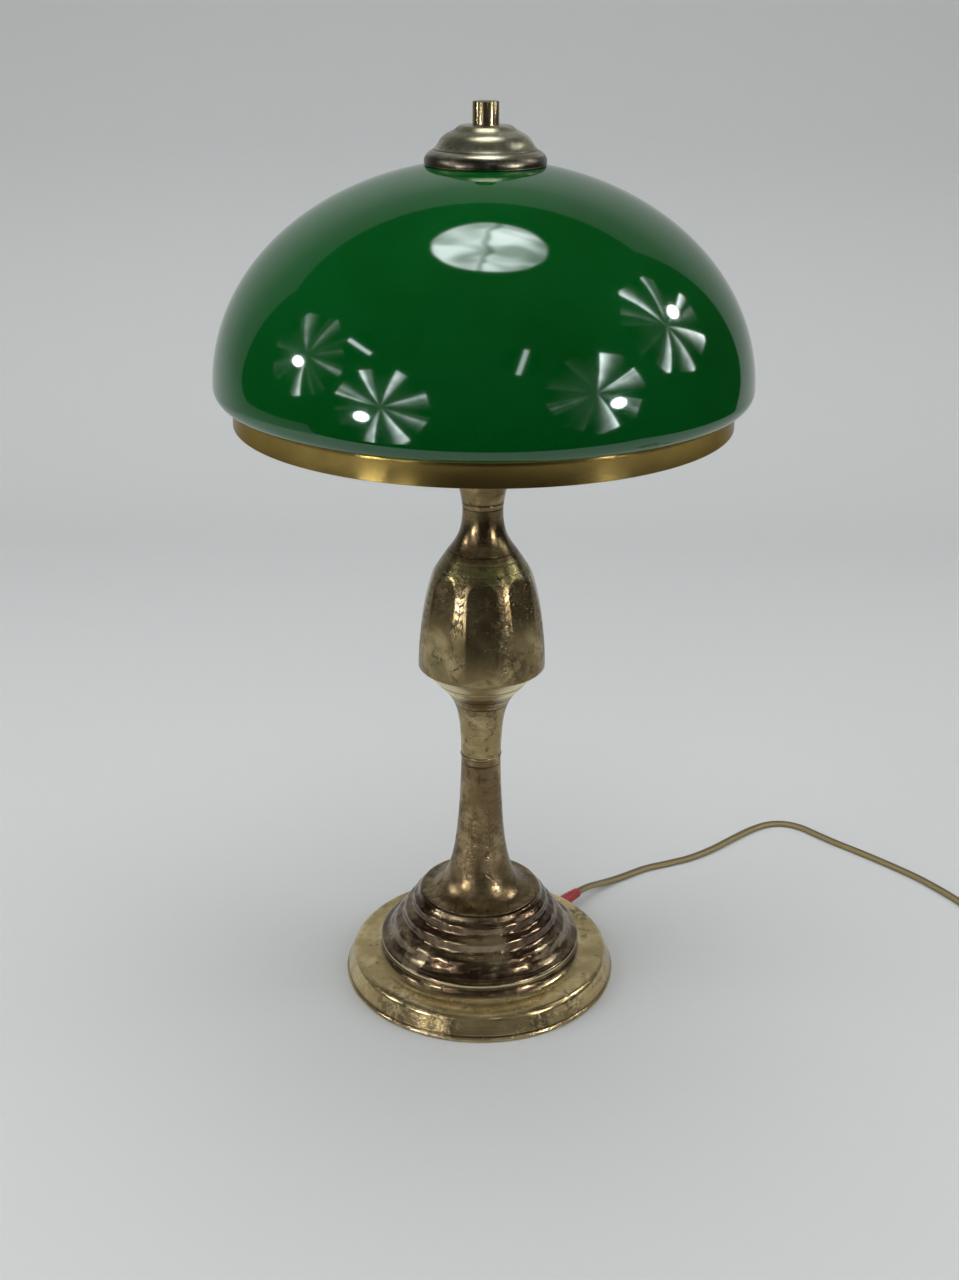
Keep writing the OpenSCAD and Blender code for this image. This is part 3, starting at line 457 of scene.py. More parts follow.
@dataclass(frozen=True)
class Relief:
    """A row of ornament round a turned piece.

    Attributes:
        radius: The mean radius in millimetres.
        middle: The height of the row's circle motif in millimetres.
        reach: Half the height of the row in millimetres.
        half_width: Half the width of each panel in millimetres.
        panels: How many panels go round.
        first: The angle of the first panel's middle in degrees.
        wave: The length of one turn of the vine in millimetres.
        circle: The radius of the circle motif in millimetres.
        deep: How strong it is, from 0 to 1.
    """

    radius: float
    middle: float
    reach: float
    half_width: float
    panels: int = 8
    first: float = -67.5
    wave: float = 17
    circle: float = 3.4
    deep: float = 1.0

    def draw(self, graph: Graph) -> tuple[bpy.types.NodeSocket, bpy.types.NodeSocket]:
        """Draw the ornament.

        Args:
            graph: The material that it is drawn in.

        Returns:
            The cut lines and the stippled ground between them.
        """
        x, y, z = graph.split()
        pitch = math.tau / self.panels
        angle = graph.math("SUBTRACT", graph.math("ARCTAN2", y, x), math.radians(self.first) - pitch / 2)
        turned = graph.math("SUBTRACT", graph.math("FLOORED_MODULO", angle, pitch), pitch / 2)
        across = graph.math("MULTIPLY", turned, self.radius)
        up = graph.math("SUBTRACT", graph.math("MULTIPLY", z, 1 / MM), self.middle)
        away = graph.math("ABSOLUTE", up)
        far = graph.math("SQRT", graph.math("ADD", graph.math("MULTIPLY", up, up),
                                            graph.math("MULTIPLY", across, across)))
        ring = graph.band(far, self.circle, 0.25, 0.35)
        inner = graph.band(far, self.circle * 0.55, 0.15, 0.3)
        over = graph.step(up, -0.3, 0.3)
        under = graph.math("SUBTRACT", 1.0, over)
        side = graph.math("ABSOLUTE", across)
        slant = graph.math("SINE", graph.math("MULTIPLY", graph.math("SUBTRACT", up, graph.math("MULTIPLY", side, 0.9)),
                                              math.tau / (self.wave * 0.28)))
        leaves = graph.math("MULTIPLY", graph.step(slant, 0.35, 0.85), graph.band(side, 1.5, 0.7, 0.4))
        leaves = graph.math("MAXIMUM", leaves, graph.band(across, 0, 0.16, 0.25))
        swing = graph.math("SINE", graph.math("MULTIPLY", away, math.tau / self.wave))
        stem = graph.math("SUBTRACT", across, graph.math("MULTIPLY", swing, self.half_width * 0.5))
        vine = graph.band(stem, 0, 0.2, 0.3)
        curl = graph.math("SINE", graph.math("MULTIPLY", away, math.tau / self.wave * 2))
        second = graph.math("ADD", across, graph.math("MULTIPLY", curl, self.half_width * 0.62))
        vine = graph.math("MAXIMUM", vine, graph.band(second, 0, 0.14, 0.28))
        vine = graph.math("MULTIPLY", vine, graph.step(graph.noise(420, 2), 0.38, 0.52))
        within = graph.band(up, 0, self.reach - 2, 2)
        beside = graph.band(across, 0, self.half_width, 0.5)
        outside_circle = graph.step(far, self.circle + 0.4, self.circle + 0.9)
        lines = graph.math("ADD", graph.math("MULTIPLY", leaves, over), graph.math("MULTIPLY", vine, under))
        lines = graph.math("MULTIPLY", lines, graph.math("MULTIPLY", within, outside_circle))
        lines = graph.math("MAXIMUM", graph.math("MAXIMUM", ring, inner), lines)
        lines = graph.math("MULTIPLY", lines, beside)
        spots = graph.step(graph.cells(1300), 0.32, 0.18)
        ground = graph.math("MULTIPLY", graph.math("MULTIPLY", spots, beside),
                            graph.math("MULTIPLY", within, graph.math("SUBTRACT", 1.0, lines)))
        return lines, ground


@dataclass(frozen=True)
class AgedMetal:
    """Old metal with stains, worn places and fine turning lines, and on some pieces painted shade.

    Attributes:
        name: The material's name.
        bright: The colour of its worn places.
        middle: The colour of most of it.
        dark: The colour of the stains.
        bloom: The colour of the dull film that lies on it.
        bloom_share: How much of it has that tarnish, from 0 to 1.
        stain: How much of it is stained, from 0 to 1.
        rough: The least and greatest roughness.
        turned: The spacing of the turning lines in millimetres, or 0 for none.
        turned_depth: How deep they are in millimetres.
        grooves_and_shade_lines: Height, half width and soft edge of each dark line, in millimetres; most are turned
            grooves, one is painted shade under an overhang.
        relief: The engraved ornament.
        pits: How strongly it is pitted, from 0 to 1.
        grain: How many cloudy features there are in a metre.
        tarnish_and_shade_band: Height, half width and soft edge of a band painted in its own colour, in millimetres; on
            some pieces it is tarnish, on others painted shade.
        tarnish_and_shade_colour: The colour of that band, or nothing for the bloom's colour.
        patches: Middle and reach of each dark patch, in millimetres; a patch is a stain on some pieces and painted
            shade on others.
        metal: How metallic it is, less where it is dull.
    """

    name: str
    bright: Colour
    middle: Colour
    dark: Colour
    bloom: Colour = (0.2, 0.24, 0.13)
    bloom_share: float = 0.2
    stain: float = 0.5
    rough: tuple[float, float] = (0.22, 0.42)
    turned: float = 0.0
    turned_depth: float = 0.02
    grooves_and_shade_lines: tuple[tuple[float, float, float], ...] = ()
    relief: Relief | None = None
    pits: float = 0.3
    grain: float = 60
    tarnish_and_shade_band: tuple[float, float, float] | None = None
    tarnish_and_shade_colour: Colour | None = None
    patches: tuple[tuple[float, float, float, float], ...] = ()
    metal: float = 0.92

    def build(self) -> bpy.types.Material:
        """Make the material.

        Returns:
            The material.
        """
        graph = Graph(self.name)
        clouds = graph.noise(self.grain, 6, 0.62, warp=0.4)
        stains = graph.step(graph.noise(self.grain * 2.6, 8, 0.7), 0.62 - 0.22 * self.stain, 0.72 - 0.1 * self.stain)
        worn = graph.step(clouds, 0.42, 0.66)
        bloom = graph.step(graph.noise(self.grain * 0.7, 5, 0.6, warp=0.8), 0.62 - 0.3 * self.bloom_share, 0.75)
        colour = graph.mix(worn, self.middle, self.bright)
        colour = graph.mix(graph.math("MULTIPLY", bloom, min(1.0, 0.3 + self.bloom_share)), colour, self.bloom)
        # A band by height: tarnish on some pieces, painted shade on others.
        if self.tarnish_and_shade_band:
            centre, half, soft = self.tarnish_and_shade_band
            belt = graph.band(graph.math("MULTIPLY", graph.split()[2], 1 / MM), centre, half, soft)
            belt = graph.math("MULTIPLY", belt, graph.step(graph.noise(self.grain * 1.3, 5), 0.25, 0.5, 0.35, 0.9))
            colour = graph.mix(belt, colour, self.tarnish_and_shade_colour or self.bloom)
        for x, y, z, reach in self.patches:
            away = graph.node("ShaderNodeVectorMath", {0: graph.place, 1: (x * MM, y * MM, z * MM)},
                              operation="DISTANCE").outputs["Value"]
            near = graph.step(away, reach * MM, reach * 0.3 * MM)
            blot = graph.step(graph.noise(self.grain * 4.5, 6, 0.7), 0.56, 0.44)
            colour = graph.mix(graph.math("MULTIPLY", graph.math("MULTIPLY", near, blot), 0.7), colour, self.dark)
        colour = graph.mix(graph.math("MULTIPLY", stains, 0.35 + 0.5 * self.stain), colour, self.dark)
        specks = graph.step(graph.cells(700), 0.2, 0.08)
        specks = graph.math("MULTIPLY", specks, graph.step(clouds, 0.6, 0.4))
        colour = graph.mix(graph.math("MULTIPLY", specks, 0.75 * self.pits), colour, self.dark)
        rough = graph.node("ShaderNodeMapRange", {0: stains, 3: self.rough[0], 4: self.rough[1]}).outputs[0]
        fine = graph.noise(900, 3, 0.6)
        if self.turned:
            colour = self.turn_lines(graph, colour)
        # Dark lines: turned grooves, and painted shade where a line lies under an overhang.
        for centre, half, soft in self.grooves_and_shade_lines:
            groove = graph.band(graph.math("MULTIPLY", graph.split()[2], 1 / MM), centre, half, soft)
            colour = graph.mix(graph.math("MULTIPLY", groove, 0.8), colour, self.dark)
            graph.bump(graph.math("SUBTRACT", 1.0, groove), 0.6, 0.3 * MM)
        if self.relief:
            lines, ground = self.relief.draw(graph)
            deep = self.relief.deep
            colour = graph.mix(graph.math("MULTIPLY", ground, 0.55 * deep), colour, self.dark)
            colour = graph.mix(graph.math("MULTIPLY", lines, 0.85 * deep), colour, self.dark)
            graph.bump(graph.math("SUBTRACT", 1.0, lines), 0.7 * deep, 0.25 * MM)
        graph.bump(graph.math("SUBTRACT", 1.0, specks), 0.35 * self.pits, 0.12 * MM)
        graph.bump(fine, 0.12, 0.05 * MM)
        return graph.done(Base_Color=colour, Metallic=self.metal, Roughness=rough)

    def turn_lines(self, graph: Graph, colour: bpy.types.NodeSocket) -> bpy.types.NodeSocket:
        """Draw the marks of the lathe.

        Args:
            graph: The material that they are drawn in.
            colour: The colour so far.

        Returns:
            The colour with the marks.
        """
        x, y, z = graph.split()
        flat = graph.join(graph.math("MULTIPLY", x, 0.02), graph.math("MULTIPLY", y, 0.02), z)
        lines = graph.noise(1 / (self.turned * MM), 3, 0.6, at=flat)
        sharp = graph.step(lines, 0.42, 0.6)
        graph.bump(lines, 0.5, self.turned_depth * MM)
        return graph.mix(graph.math("MULTIPLY", sharp, 0.22), colour, self.dark)


@dataclass(frozen=True)
class Hammered:
    """Thin hammered sheet, dark with bright facets.

    Attributes:
        name: The material's name.
        bright: The colour of its lighter, worn patches.
        dark: The colour of the rest.
        dents: How many dents there are in a metre.
        depth: How deep they are in millimetres.
        rim: The height in millimetres up to which the edge carries a painted highlight.
        rim_highlight: The colour of that painted highlight.
    """

    name: str
    bright: Colour
    dark: Colour
    dents: float = 75
    depth: float = 0.6
    rim: float = 8.5
    rim_highlight: Colour = (0.85, 0.75, 0.48)

    def build(self) -> bpy.types.Material:
        """Make the material.

        Returns:
            The material.
        """
        graph = Graph(self.name)
        z = graph.split()[2]
        facets = graph.noise(self.dents, 1, 0.4, warp=0.3)
        clouds = graph.step(graph.noise(36, 6, 0.6, warp=0.5), 0.42, 0.74)
        ridge = graph.step(graph.noise(260, 4, 0.6), 0.5, 0.72)
        colour = graph.mix(graph.math("MULTIPLY", clouds, 0.42), self.dark, self.bright)
        colour = graph.mix(graph.math("MULTIPLY", ridge, 0.16), colour, self.bright)
        specks = graph.step(graph.cells(900), 0.25, 0.1)
        colour = graph.mix(graph.math("MULTIPLY", specks, 0.5), colour, (0.02, 0.014, 0.01))
        graph.bump(facets, 0.5, self.depth * MM)
        graph.bump(graph.noise(300, 3, 0.5), 0.2, 0.1 * MM)
        # Painted highlight: up to the rim height the dome is painted bright and made less metallic.
        edge = graph.step(z, (self.rim - 0.5) * MM, (self.rim + 0.5) * MM, 0.85, 0.0)
        colour = graph.mix(edge, colour, self.rim_highlight)
        rough = graph.node("ShaderNodeMapRange", {0: clouds, 3: 0.2, 4: 0.34}).outputs[0]
        metal = graph.math("SUBTRACT", 0.9, graph.math("MULTIPLY", edge, 0.6))
        return graph.done(Base_Color=colour, Metallic=metal, Roughness=rough, Coat_Weight=0.4, Coat_Roughness=0.14)


@dataclass(frozen=True)
class BrushedBand:
    """Satin metal brushed round and round.

    Attributes:
        name: The material's name.
        bright: The colour of the brushing.
        dark: The colour of the stains.
        rough: Its roughness.
    """

    name: str
    bright: Colour
    dark: Colour
    rough: float = 0.3

    def build(self) -> bpy.types.Material:
        """Make the material.

        Returns:
            The material.
        """
        graph = Graph(self.name)
        x, y, z = graph.split()
        flat = graph.join(graph.math("MULTIPLY", x, 0.03), graph.math("MULTIPLY", y, 0.03), z)
        hair = graph.noise(4200, 3, 0.7, at=flat)
        stains = graph.step(graph.noise(26, 7, 0.66, warp=0.5), 0.42, 0.66)
        specks = graph.step(graph.cells(520), 0.16, 0.06)
        colour = graph.mix(graph.math("MULTIPLY", stains, 0.35), self.bright, self.dark)
        colour = graph.mix(graph.math("MULTIPLY", hair, 0.35), colour, self.dark)
        colour = graph.mix(graph.math("MULTIPLY", specks, 0.5), colour, (0.05, 0.03, 0.015))
        graph.bump(hair, 0.25, 0.04 * MM)
        graph.bump(graph.noise(150, 4), 0.1, 0.3 * MM)
        return graph.done(Base_Color=colour, Metallic=0.94, Roughness=self.rough, Anisotropic=0.8,
                          Specular_Tint=(0.62, 0.56, 0.46, 1.0),
                          Anisotropic_Rotation=0.25)


@dataclass(frozen=True)
class CasedGlass:
    """Deep green glass over a white layer.

    Attributes:
        name: The material's name.
        deep: The colour of the green layer.
        pale: The colour where the layer is thin.
        milk: The colour of the white layer inside.
    """

    name: str
    deep: Colour
    pale: Colour
    milk: Colour = (0.76, 0.78, 0.72)

    def build(self) -> bpy.types.Material:
        """Make the material.

        Returns:
            The material.
        """
        graph = Graph(self.name)
        x, y, z = graph.split()
        far = graph.math("SQRT", graph.math("ADD", graph.math("MULTIPLY", x, x), graph.math("MULTIPLY", y, y)))
        low = graph.math("SUBTRACT", z, 367.6 * MM)
        thin = graph.step(graph.math("ABSOLUTE", low), 7.5 * MM, 2.5 * MM)
        clouds = graph.noise(9, 3, 0.5, warp=0.6)
        share = graph.math("MAXIMUM", graph.math("MULTIPLY", thin, 0.75),
                           graph.math("MULTIPLY", graph.step(clouds, 0.35, 0.7), 0.16))
        colour = graph.mix(share, self.deep, self.pale)
        seeds = graph.step(graph.cells(260), 0.05, 0.02)
        colour = graph.mix(graph.math("MULTIPLY", seeds, 0.3), colour, self.pale)
        facing = graph.node("ShaderNodeNewGeometry").outputs["Normal"]
        nx, ny, nz = graph.split(facing)
        outward = graph.math("ADD", graph.math("ADD", graph.math("MULTIPLY", nx, x), graph.math("MULTIPLY", ny, y)),
                             graph.math("MULTIPLY", nz, graph.math("SUBTRACT", z, 374 * MM)))
        milk = graph.step(outward, 0.0, -0.004)
        colour = graph.mix(milk, colour, self.milk)
        graph.bump(graph.noise(14, 2, 0.4), 0.06, 1.2 * MM)
        return graph.done(Base_Color=colour, Roughness=0.06, IOR=1.52, Specular_Tint=(0.88, 1.0, 1.0, 1.0),
                          Specular_IOR_Level=0.82)


@dataclass(frozen=True)
class Cover:
    """The smooth cover of a twin cord, with painted shade along its edges.

    Attributes:
        name: The material's name.
        thread: The colour of its faces.
        shade: The colour of the painted shade along its edges.
    """

    name: str
    thread: Colour
    shade: Colour

    def build(self) -> bpy.types.Material:
        """Make the material.

        Returns:
            The material.
        """
        graph = Graph(self.name)
        _, round_it, _ = graph.split(graph.node("ShaderNodeUVMap", uv_map="along").outputs[0])
        # Painted shade: the cover is darkened along its edges and lighter on its faces.
        lit_face_mask = graph.math("ABSOLUTE", graph.math("SINE", graph.math("MULTIPLY", round_it, math.tau)))
        clouds = graph.noise(120, 4, 0.6)
        share = graph.step(graph.math("ADD", lit_face_mask, graph.math("MULTIPLY", clouds, 0.3)), 0.45, 0.85)
        colour = graph.mix(share, self.shade, self.thread)
        specks = graph.step(graph.cells(900), 0.2, 0.08)
        colour = graph.mix(graph.math("MULTIPLY", specks, 0.4), colour, self.shade)
        graph.bump(graph.noise(1800, 2), 0.15, 0.05 * MM)
        return graph.done(Base_Color=colour, Roughness=0.38, Specular_IOR_Level=0.5)


@dataclass(frozen=True)
class PlainStuff:
    """A simple stuff with mottling, specks and a fine surface grain.

    Attributes:
        name: The material's name.
        main: Its main colour.
        second: The colour of its mottling.
        rough: Its roughness.
        metal: How metallic it is.
        grain: How many grains there are in a metre.
        depth: How deep the grain is in millimetres.
        mottle: How strong the mottling is.
        let_through: How much light goes through it.
    """

    name: str
    main: Colour
    second: Colour
    rough: float = 0.5
    metal: float = 0.0
    grain: float = 900
    depth: float = 0.05
    mottle: float = 0.5
    let_through: float = 0.0

    def build(self) -> bpy.types.Material:
        """Make the material.

        Returns:
            The material.
        """
        graph = Graph(self.name)
        clouds = graph.step(graph.noise(90, 6, 0.6, warp=0.3), 0.35, 0.7)
        specks = graph.step(graph.cells(self.grain * 0.6), 0.22, 0.1)
        colour = graph.mix(graph.math("MULTIPLY", clouds, self.mottle), self.main, self.second)
        colour = graph.mix(graph.math("MULTIPLY", specks, 0.35 * self.mottle), colour, self.second)
        graph.bump(graph.noise(self.grain, 4, 0.6), 0.4, self.depth * MM)
        rough = graph.node("ShaderNodeMapRange", {0: clouds, 3: self.rough * 0.85, 4: self.rough * 1.15}).outputs[0]
        return graph.done(Base_Color=colour, Roughness=rough, Metallic=self.metal,
                          Transmission_Weight=self.let_through)


@dataclass(frozen=True)
class Heights:
    """The heights of the column's seams in millimetres."""

    boss: float = 22.5
    dome: float = 56.8
    stem_seam: float = 150.6
    cup: float = 196.3
    bell: float = 210.4
    bell_seam: float = 281.0
    neck_seam: float = 309.0
    collar: float = 352.0
    ring: float = 361.4
    ledge: float = 365.4
    glass: float = 367.6
    glass_under: float = 374.8
    glass_middle: float = 381.4
    light: float = 372.0


AT = Heights()


@dataclass
class Glass:
    """The domed shade.

    Attributes:
        wide: The glass's largest radius.
        high: Its height over the widest circle.
        wall: Its thickness.
        turn_in: The rounding of its lower edge.
        foot: The radius of the foot that stands in the ring.
        hole: The radius of the hole in the crown.
    """

    wide: float = 149.2
    high: float = 118.6
    wall: float = 3.0
    turn_in: float = 8.7
    foot: float = 137.3
    hole: float = 10.0

    def top(self, radius: float) -> float:
        """The height of the outer face.

        Args:
            radius: The distance from the axis.

        Returns:
            The height there.
        """
        return AT.glass_middle + self.high * math.sqrt(1 - (radius / self.wide) ** 2)

    def outline(self) -> list[Point]:
        """The closed outline of the glass.

        Returns:
            The outline's points.
        """
        centre = (self.wide - self.turn_in, AT.glass_under + self.turn_in)
        dome = (0.0, AT.glass_middle)
        end = math.degrees(math.acos(self.hole / self.wide))
        inner_wide = self.wide - self.wall
        inner_end = math.degrees(math.acos(self.hole / inner_wide))
        outer = [(self.foot, AT.glass), (self.foot, AT.glass_under - 0.3), (self.foot + 0.3, AT.glass_under),
                 *arc(centre, self.turn_in, -90, 0, 10),
                 *ellipse(dome, self.wide, self.high, 1.5, end, 54)]
        inner = [(self.foot - self.wall, AT.glass), *arc(centre, self.turn_in - self.wall, -90, 0, 8),
                 *ellipse(dome, inner_wide, self.high - self.wall, 1.5, inner_end, 54)]
        return [*outer, *reversed(inner)]

    def build(self) -> bpy.types.Object:
        """Make the shade.

        Returns:
            The shade.
        """
        shade = turn("green_glass_shade", self.outline(), 192, 40)
        clad(shade, CasedGlass("Cased green glass", (0.0, 0.05, 0.0045), (0.002, 0.15, 0.028)).build())
        return place(shade, Body.SHADE, ["glass_shade"])


@dataclass
class Ring:
    """The brass ring under the glass.

    Attributes:
        wide: Its outer radius.
        high: Its height.
        sheet: Its thickness.
        ledge: The width of the ledge inside it.
    """

    wide: float = 139.3
    high: float = 13.0
    sheet: float = 1.2
    ledge: float = 9.0

    def build(self) -> bpy.types.Object:
        """Make the ring.

        Returns:
            The ring.
        """
        inner = self.wide - self.sheet
        top = AT.ring + self.high - self.sheet / 2
        outline = [(inner + 0.3, AT.ring), (self.wide - 0.3, AT.ring), (self.wide, AT.ring + 0.3),
                   (self.wide - 0.12, AT.ring + 2.4), (self.wide - 0.12, top - 2.2), (self.wide, top - 1.6),
                   *arc((self.wide - self.sheet / 2, top), self.sheet / 2, 0, 180, 8),
                   (inner, AT.ledge + self.sheet), (inner - self.ledge, AT.ledge + self.sheet),
                   (inner - self.ledge, AT.ledge), (inner, AT.ledge), (inner, AT.ring + 0.3)]
        ring = turn("brass_ring", outline, 192, 30)
        clad(ring, BrushedBand("Brushed brass", (0.33, 0.235, 0.065), (0.11, 0.07, 0.027), 0.24).build())
        return place(ring, Body.BASE, ["shade_ring"])


@dataclass
class Crown:
    """The two-lobed cap over the hole in the glass.

    Attributes:
        glass: The shade that it lies on.
        wide: Its outer radius.
        high: Its height.
        sheet: Its thickness.
        lobe: The rounding of its lower lobe.
        flat: The radius of its flat top.
        step: How far its upper part stands inside its edge.
    """

    glass: Glass
    wide: float = 32.6
    high: float = 19.9
    sheet: float = 1.0
    lobe: float = 6.0
    flat: float = 13.2
    step: float = 4.8

    @property
    def foot(self) -> float:
        """The height of its lower edge."""
        return self.glass.top(self.wide - self.sheet) + 0.3

    @property
    def top(self) -> float:
        """The height of its flat top."""
        return self.foot + self.high

    def build(self) -> bpy.types.Object:
        """Make the cap.

        Returns:
            The cap.
        """
        low = self.foot + 1.6
        start = (self.wide - self.step, low + self.lobe)
        shoulder = ((-0.9, 1.0), (-1.9, 2.2), (-2.7, 3.5), (-3.5, 4.8), (-4.6, 6.2), (-6.0, 7.4), (-7.6, 8.3),
                    (-9.2, 9.0), (-10.6, 9.7), (-11.8, 10.5), (-12.9, 11.4), (-13.9, 12.0))
        upper = [(start[0] + out, start[1] + up) for out, up in shoulder]
        line = [*arc((self.wide - self.lobe, low), self.lobe, -15, 68, 14), start, *upper,
                (self.flat - 0.2, self.top), (3.3, self.top)]
        cap = turn("crown_cap", shell(line, self.sheet), 144, 50)
        # The lower lobe is painted darker in a band.
        finish = AgedMetal("Patinated cap", (0.58, 0.56, 0.43), (0.3, 0.29, 0.19), (0.06, 0.045, 0.036),
                           bloom=(0.1, 0.072, 0.066), bloom_share=0.3, stain=0.35, rough=(0.28, 0.42), turned=0.5,
                           turned_depth=0.012, pits=0.35, tarnish_and_shade_band=(low + 0.5, 2.5, 1.2),
                           tarnish_and_shade_colour=(0.05, 0.036, 0.03),
                           grooves_and_shade_lines=((self.foot + 0.7, 0.25, 0.3), (low + self.lobe + 0.1, 0.0, 0.5)))
        clad(cap, finish.build())
        return place(cap, Body.CROWN, ["shade_cap"])


@dataclass
class Finial:
    """The barrel nut that holds the cap down.

    Attributes:
        foot: The height of its lower face.
        wide: Its radius.
        high: Its height.
        bore: The radius of its thread.
    """

    foot: float
    wide: float = 7.0
    high: float = 11.9
    bore: float = 3.05

    def build(self) -> bpy.types.Object:
        """Make the barrel nut.

        Returns:
            The barrel nut.
        """
        foot, top = self.foot, self.foot + self.high
        outline = [(self.bore, foot), (self.wide - 0.25, foot), (self.wide, foot + 0.25), (self.wide, top - 0.3),
                   (self.wide - 0.1, top - 0.1), (self.wide - 0.3, top), (0.05, top), (0.05, top - 2),
                   (self.bore, top - 2)]
        barrel = turn("finial_barrel", outline, 96, 35)
        clad(barrel, BrushedBand("Polished brass", (0.42, 0.35, 0.2), (0.17, 0.12, 0.06), 0.22).build())
        return place(barrel, Body.FINIAL, ["finial"])


@dataclass
class Foot:
    """The dished foot and the hammered dome on it.

    Attributes:
        wide: The foot's radius.
        bead: The radius of its rolled lip.
        shoulder: The radius of its shoulder.
        flange: The height of its flange.
        shoulder_round: The rounding of its shoulder.
        boss: The radius of the raised middle.
        sheet: The foot's thickness.
        dome_wide: The dome's radius.
        dome_high: The dome's height.
        dome_rim: The height of the dome's rim.
        dome_top: The radius of the dome's flat top.
        top_round: The rounding at the edge of that top.
        dome_sheet: The dome's thickness.
        fold: How high the dome's folds stand.
        folds: How many folds the dome has.
        exit_angle: The direction in which the cord leaves, in degrees.
        exit_z: The height of the cord's hole.
        exit_r: The radius of the cord's hole.
    """

    wide: float = 85.3
    bead: float = 1.4
    shoulder: float = 81.2
    flange: float = 15.2
    shoulder_round: float = 4.5
    boss: float = 60.5
    sheet: float = 1.2
    dome_wide: float = 62.8
    dome_high: float = 34.3
    dome_rim: float = 3.2
    dome_top: float = 37.0
    top_round: float = 1.2
    dome_sheet: float = 1.0
    fold: float = 1.1
    folds: int = 3
    exit_angle: float = 48.0
    exit_z: float = 7.4
    exit_r: float = 4.15

    def build_dish(self) -> bpy.types.Object:
        """Make the dished foot.

        Returns:
            The foot.
        """
        rounding, cove = self.shoulder_round, AT.boss - self.flange
        outer = [(self.wide - 0.8, 3.1), *arc((self.shoulder - rounding, self.flange - rounding), rounding, 15, 90, 10),
                 *arc((self.boss + cove, AT.boss), cove, 270, 180, 14), (5.2, AT.boss)]
        inner = inside(outer, self.sheet)
        inner[0] = (self.wide - 0.8 - self.sheet, 3.1)
        lip = arc((self.wide - self.bead, self.bead), self.bead, 215, 413, 20)
        dish = turn("dished_foot", [*lip, *outer, *reversed(inner), (self.wide - 2, 2.2)], 192, 32)
        self.pierce(dish)
        # The band at 20.8 mm is painted shade in the cove under the dome's rim; the dark patches are stains.
        finish = AgedMetal("Dished brass", (0.72, 0.58, 0.31), (0.5, 0.385, 0.18), (0.075, 0.05, 0.03),
                           bloom=(0.38, 0.3, 0.13), bloom_share=0.3, stain=0.38, rough=(0.18, 0.4), turned=0.9,
                           turned_depth=0.02, pits=0.6, grooves_and_shade_lines=((3.55, 0.45, 0.4),), tarnish_and_shade_band=(20.8, 3.2, 1.4),
                           tarnish_and_shade_colour=(0.085, 0.05, 0.028), metal=0.8,
                           patches=((-52, -64, 8, 26), (-24, -81, 7, 18), (38, -74, 9, 14), (58, -61, 9, 16), (70, 36, 14, 16)))
        clad(dish, finish.build())
        return place(dish, Body.BASE, ["base_dish"])

    def pierce(self, dish: bpy.types.Object) -> None:
        """Cut the cord's hole.

        Args:
            dish: The dished foot.
        """
        select_nothing()
        turned = math.radians(self.exit_angle)
        at = Vector((math.cos(turned), math.sin(turned), 0)) * self.wide + Vector((0, 0, self.exit_z))
        bpy.ops.mesh.primitive_cylinder_add(vertices=48, radius=self.exit_r * MM, depth=24 * MM, location=at * MM,
                                            rotation=(0, math.pi / 2, turned))
        cutter = bpy.context.object
        select_nothing()
        dish.select_set(True)
        bpy.context.view_layer.objects.active = dish
        cut = dish.modifiers.new("cord hole", "BOOLEAN")
        cut.object, cut.operation, cut.solver = cutter, "DIFFERENCE", "EXACT"
        bpy.ops.object.modifier_apply(modifier=cut.name)
        bpy.data.objects.remove(cutter)

    def height_of_fold(self, share: float) -> float:
        """How far the dome's flank stands out.

        Args:
            share: How far up the flank, from 0 to 1.

        Returns:
            The height of the fold.
        """
        wave = math.cos(math.tau * (self.folds * share * share - 0.5))
        return self.fold * wave * ease(share / 0.12) * ease((1 - share) / 0.12)

    def dome_line(self) -> list[Point]:
        """The outer face of the dome.

        Returns:
            The outline's points, running upward.
        """
        rim = self.dome_rim / 2
        low, high = (self.dome_wide - rim, AT.boss + rim), (self.dome_top, AT.dome - self.top_round)
        edge, crown = arc(low, rim, -90, 60, 10), arc(high, self.top_round, 32, 90, 6)
        start, end = edge[-1], crown[0]
        flank = bend(start, (start[0] - 8.8, start[1] + 5.6), (end[0] + 11.8, end[1] - 17), end, 72)
        folded = []
        for i in range(1, len(flank) - 1):
            along = (Vector(flank[i + 1]) - Vector(flank[i - 1])).normalized()
            out = Vector((along.y, -along.x)) * self.height_of_fold(i / (len(flank) - 1))
            folded.append((flank[i][0] + out.x, flank[i][1] + out.y))
        return [*edge, *folded, *crown, (5.2, AT.dome)]

    def build_dome(self) -> bpy.types.Object:
        """Make the hammered dome.

        Returns:
            The dome.
        """
        line = self.dome_line()
        inner = inside(line, self.dome_sheet)
        inner[0] = (self.dome_wide - self.dome_rim / 2, AT.boss + self.dome_sheet)
        dome = turn("hammered_dome", [*line, *reversed(inner)], 192, 50)
        reshape(dome, self.hammer)
        # The dome's rim, up to 2 mm over the boss, carries a painted highlight.
        clad(dome, Hammered("Hammered brass", (0.74, 0.6, 0.36), (0.082, 0.046, 0.021), rim=AT.boss + 2.0).build())
        return place(dome, Body.BASE, ["stepped_dome"])

    def hammer(self, corner: Vector) -> Vector:
        """Press soft dents into the dome's folds.

        Args:
            corner: A corner of the dome.

        Returns:
            Its place after hammering.
        """
        far = math.hypot(corner.x, corner.y)
        reach = ease((far - 38.5) / 3) * ease((60.5 - far) / 4) * ease((corner.z - 26.5) / 3)
        turned = math.atan2(corner.y, corner.x)
        dent = math.sin(turned * 23 + far * 0.55) * math.sin(far * 0.8 - corner.z * 0.7)
        dent += 0.6 * math.sin(turned * 37 - corner.z * 0.9)
        out = Vector((corner.x / max(far, 1), corner.y / max(far, 1), 0.5)).normalized()
        return corner - out * 0.1 * (dent + 1.6) * reach


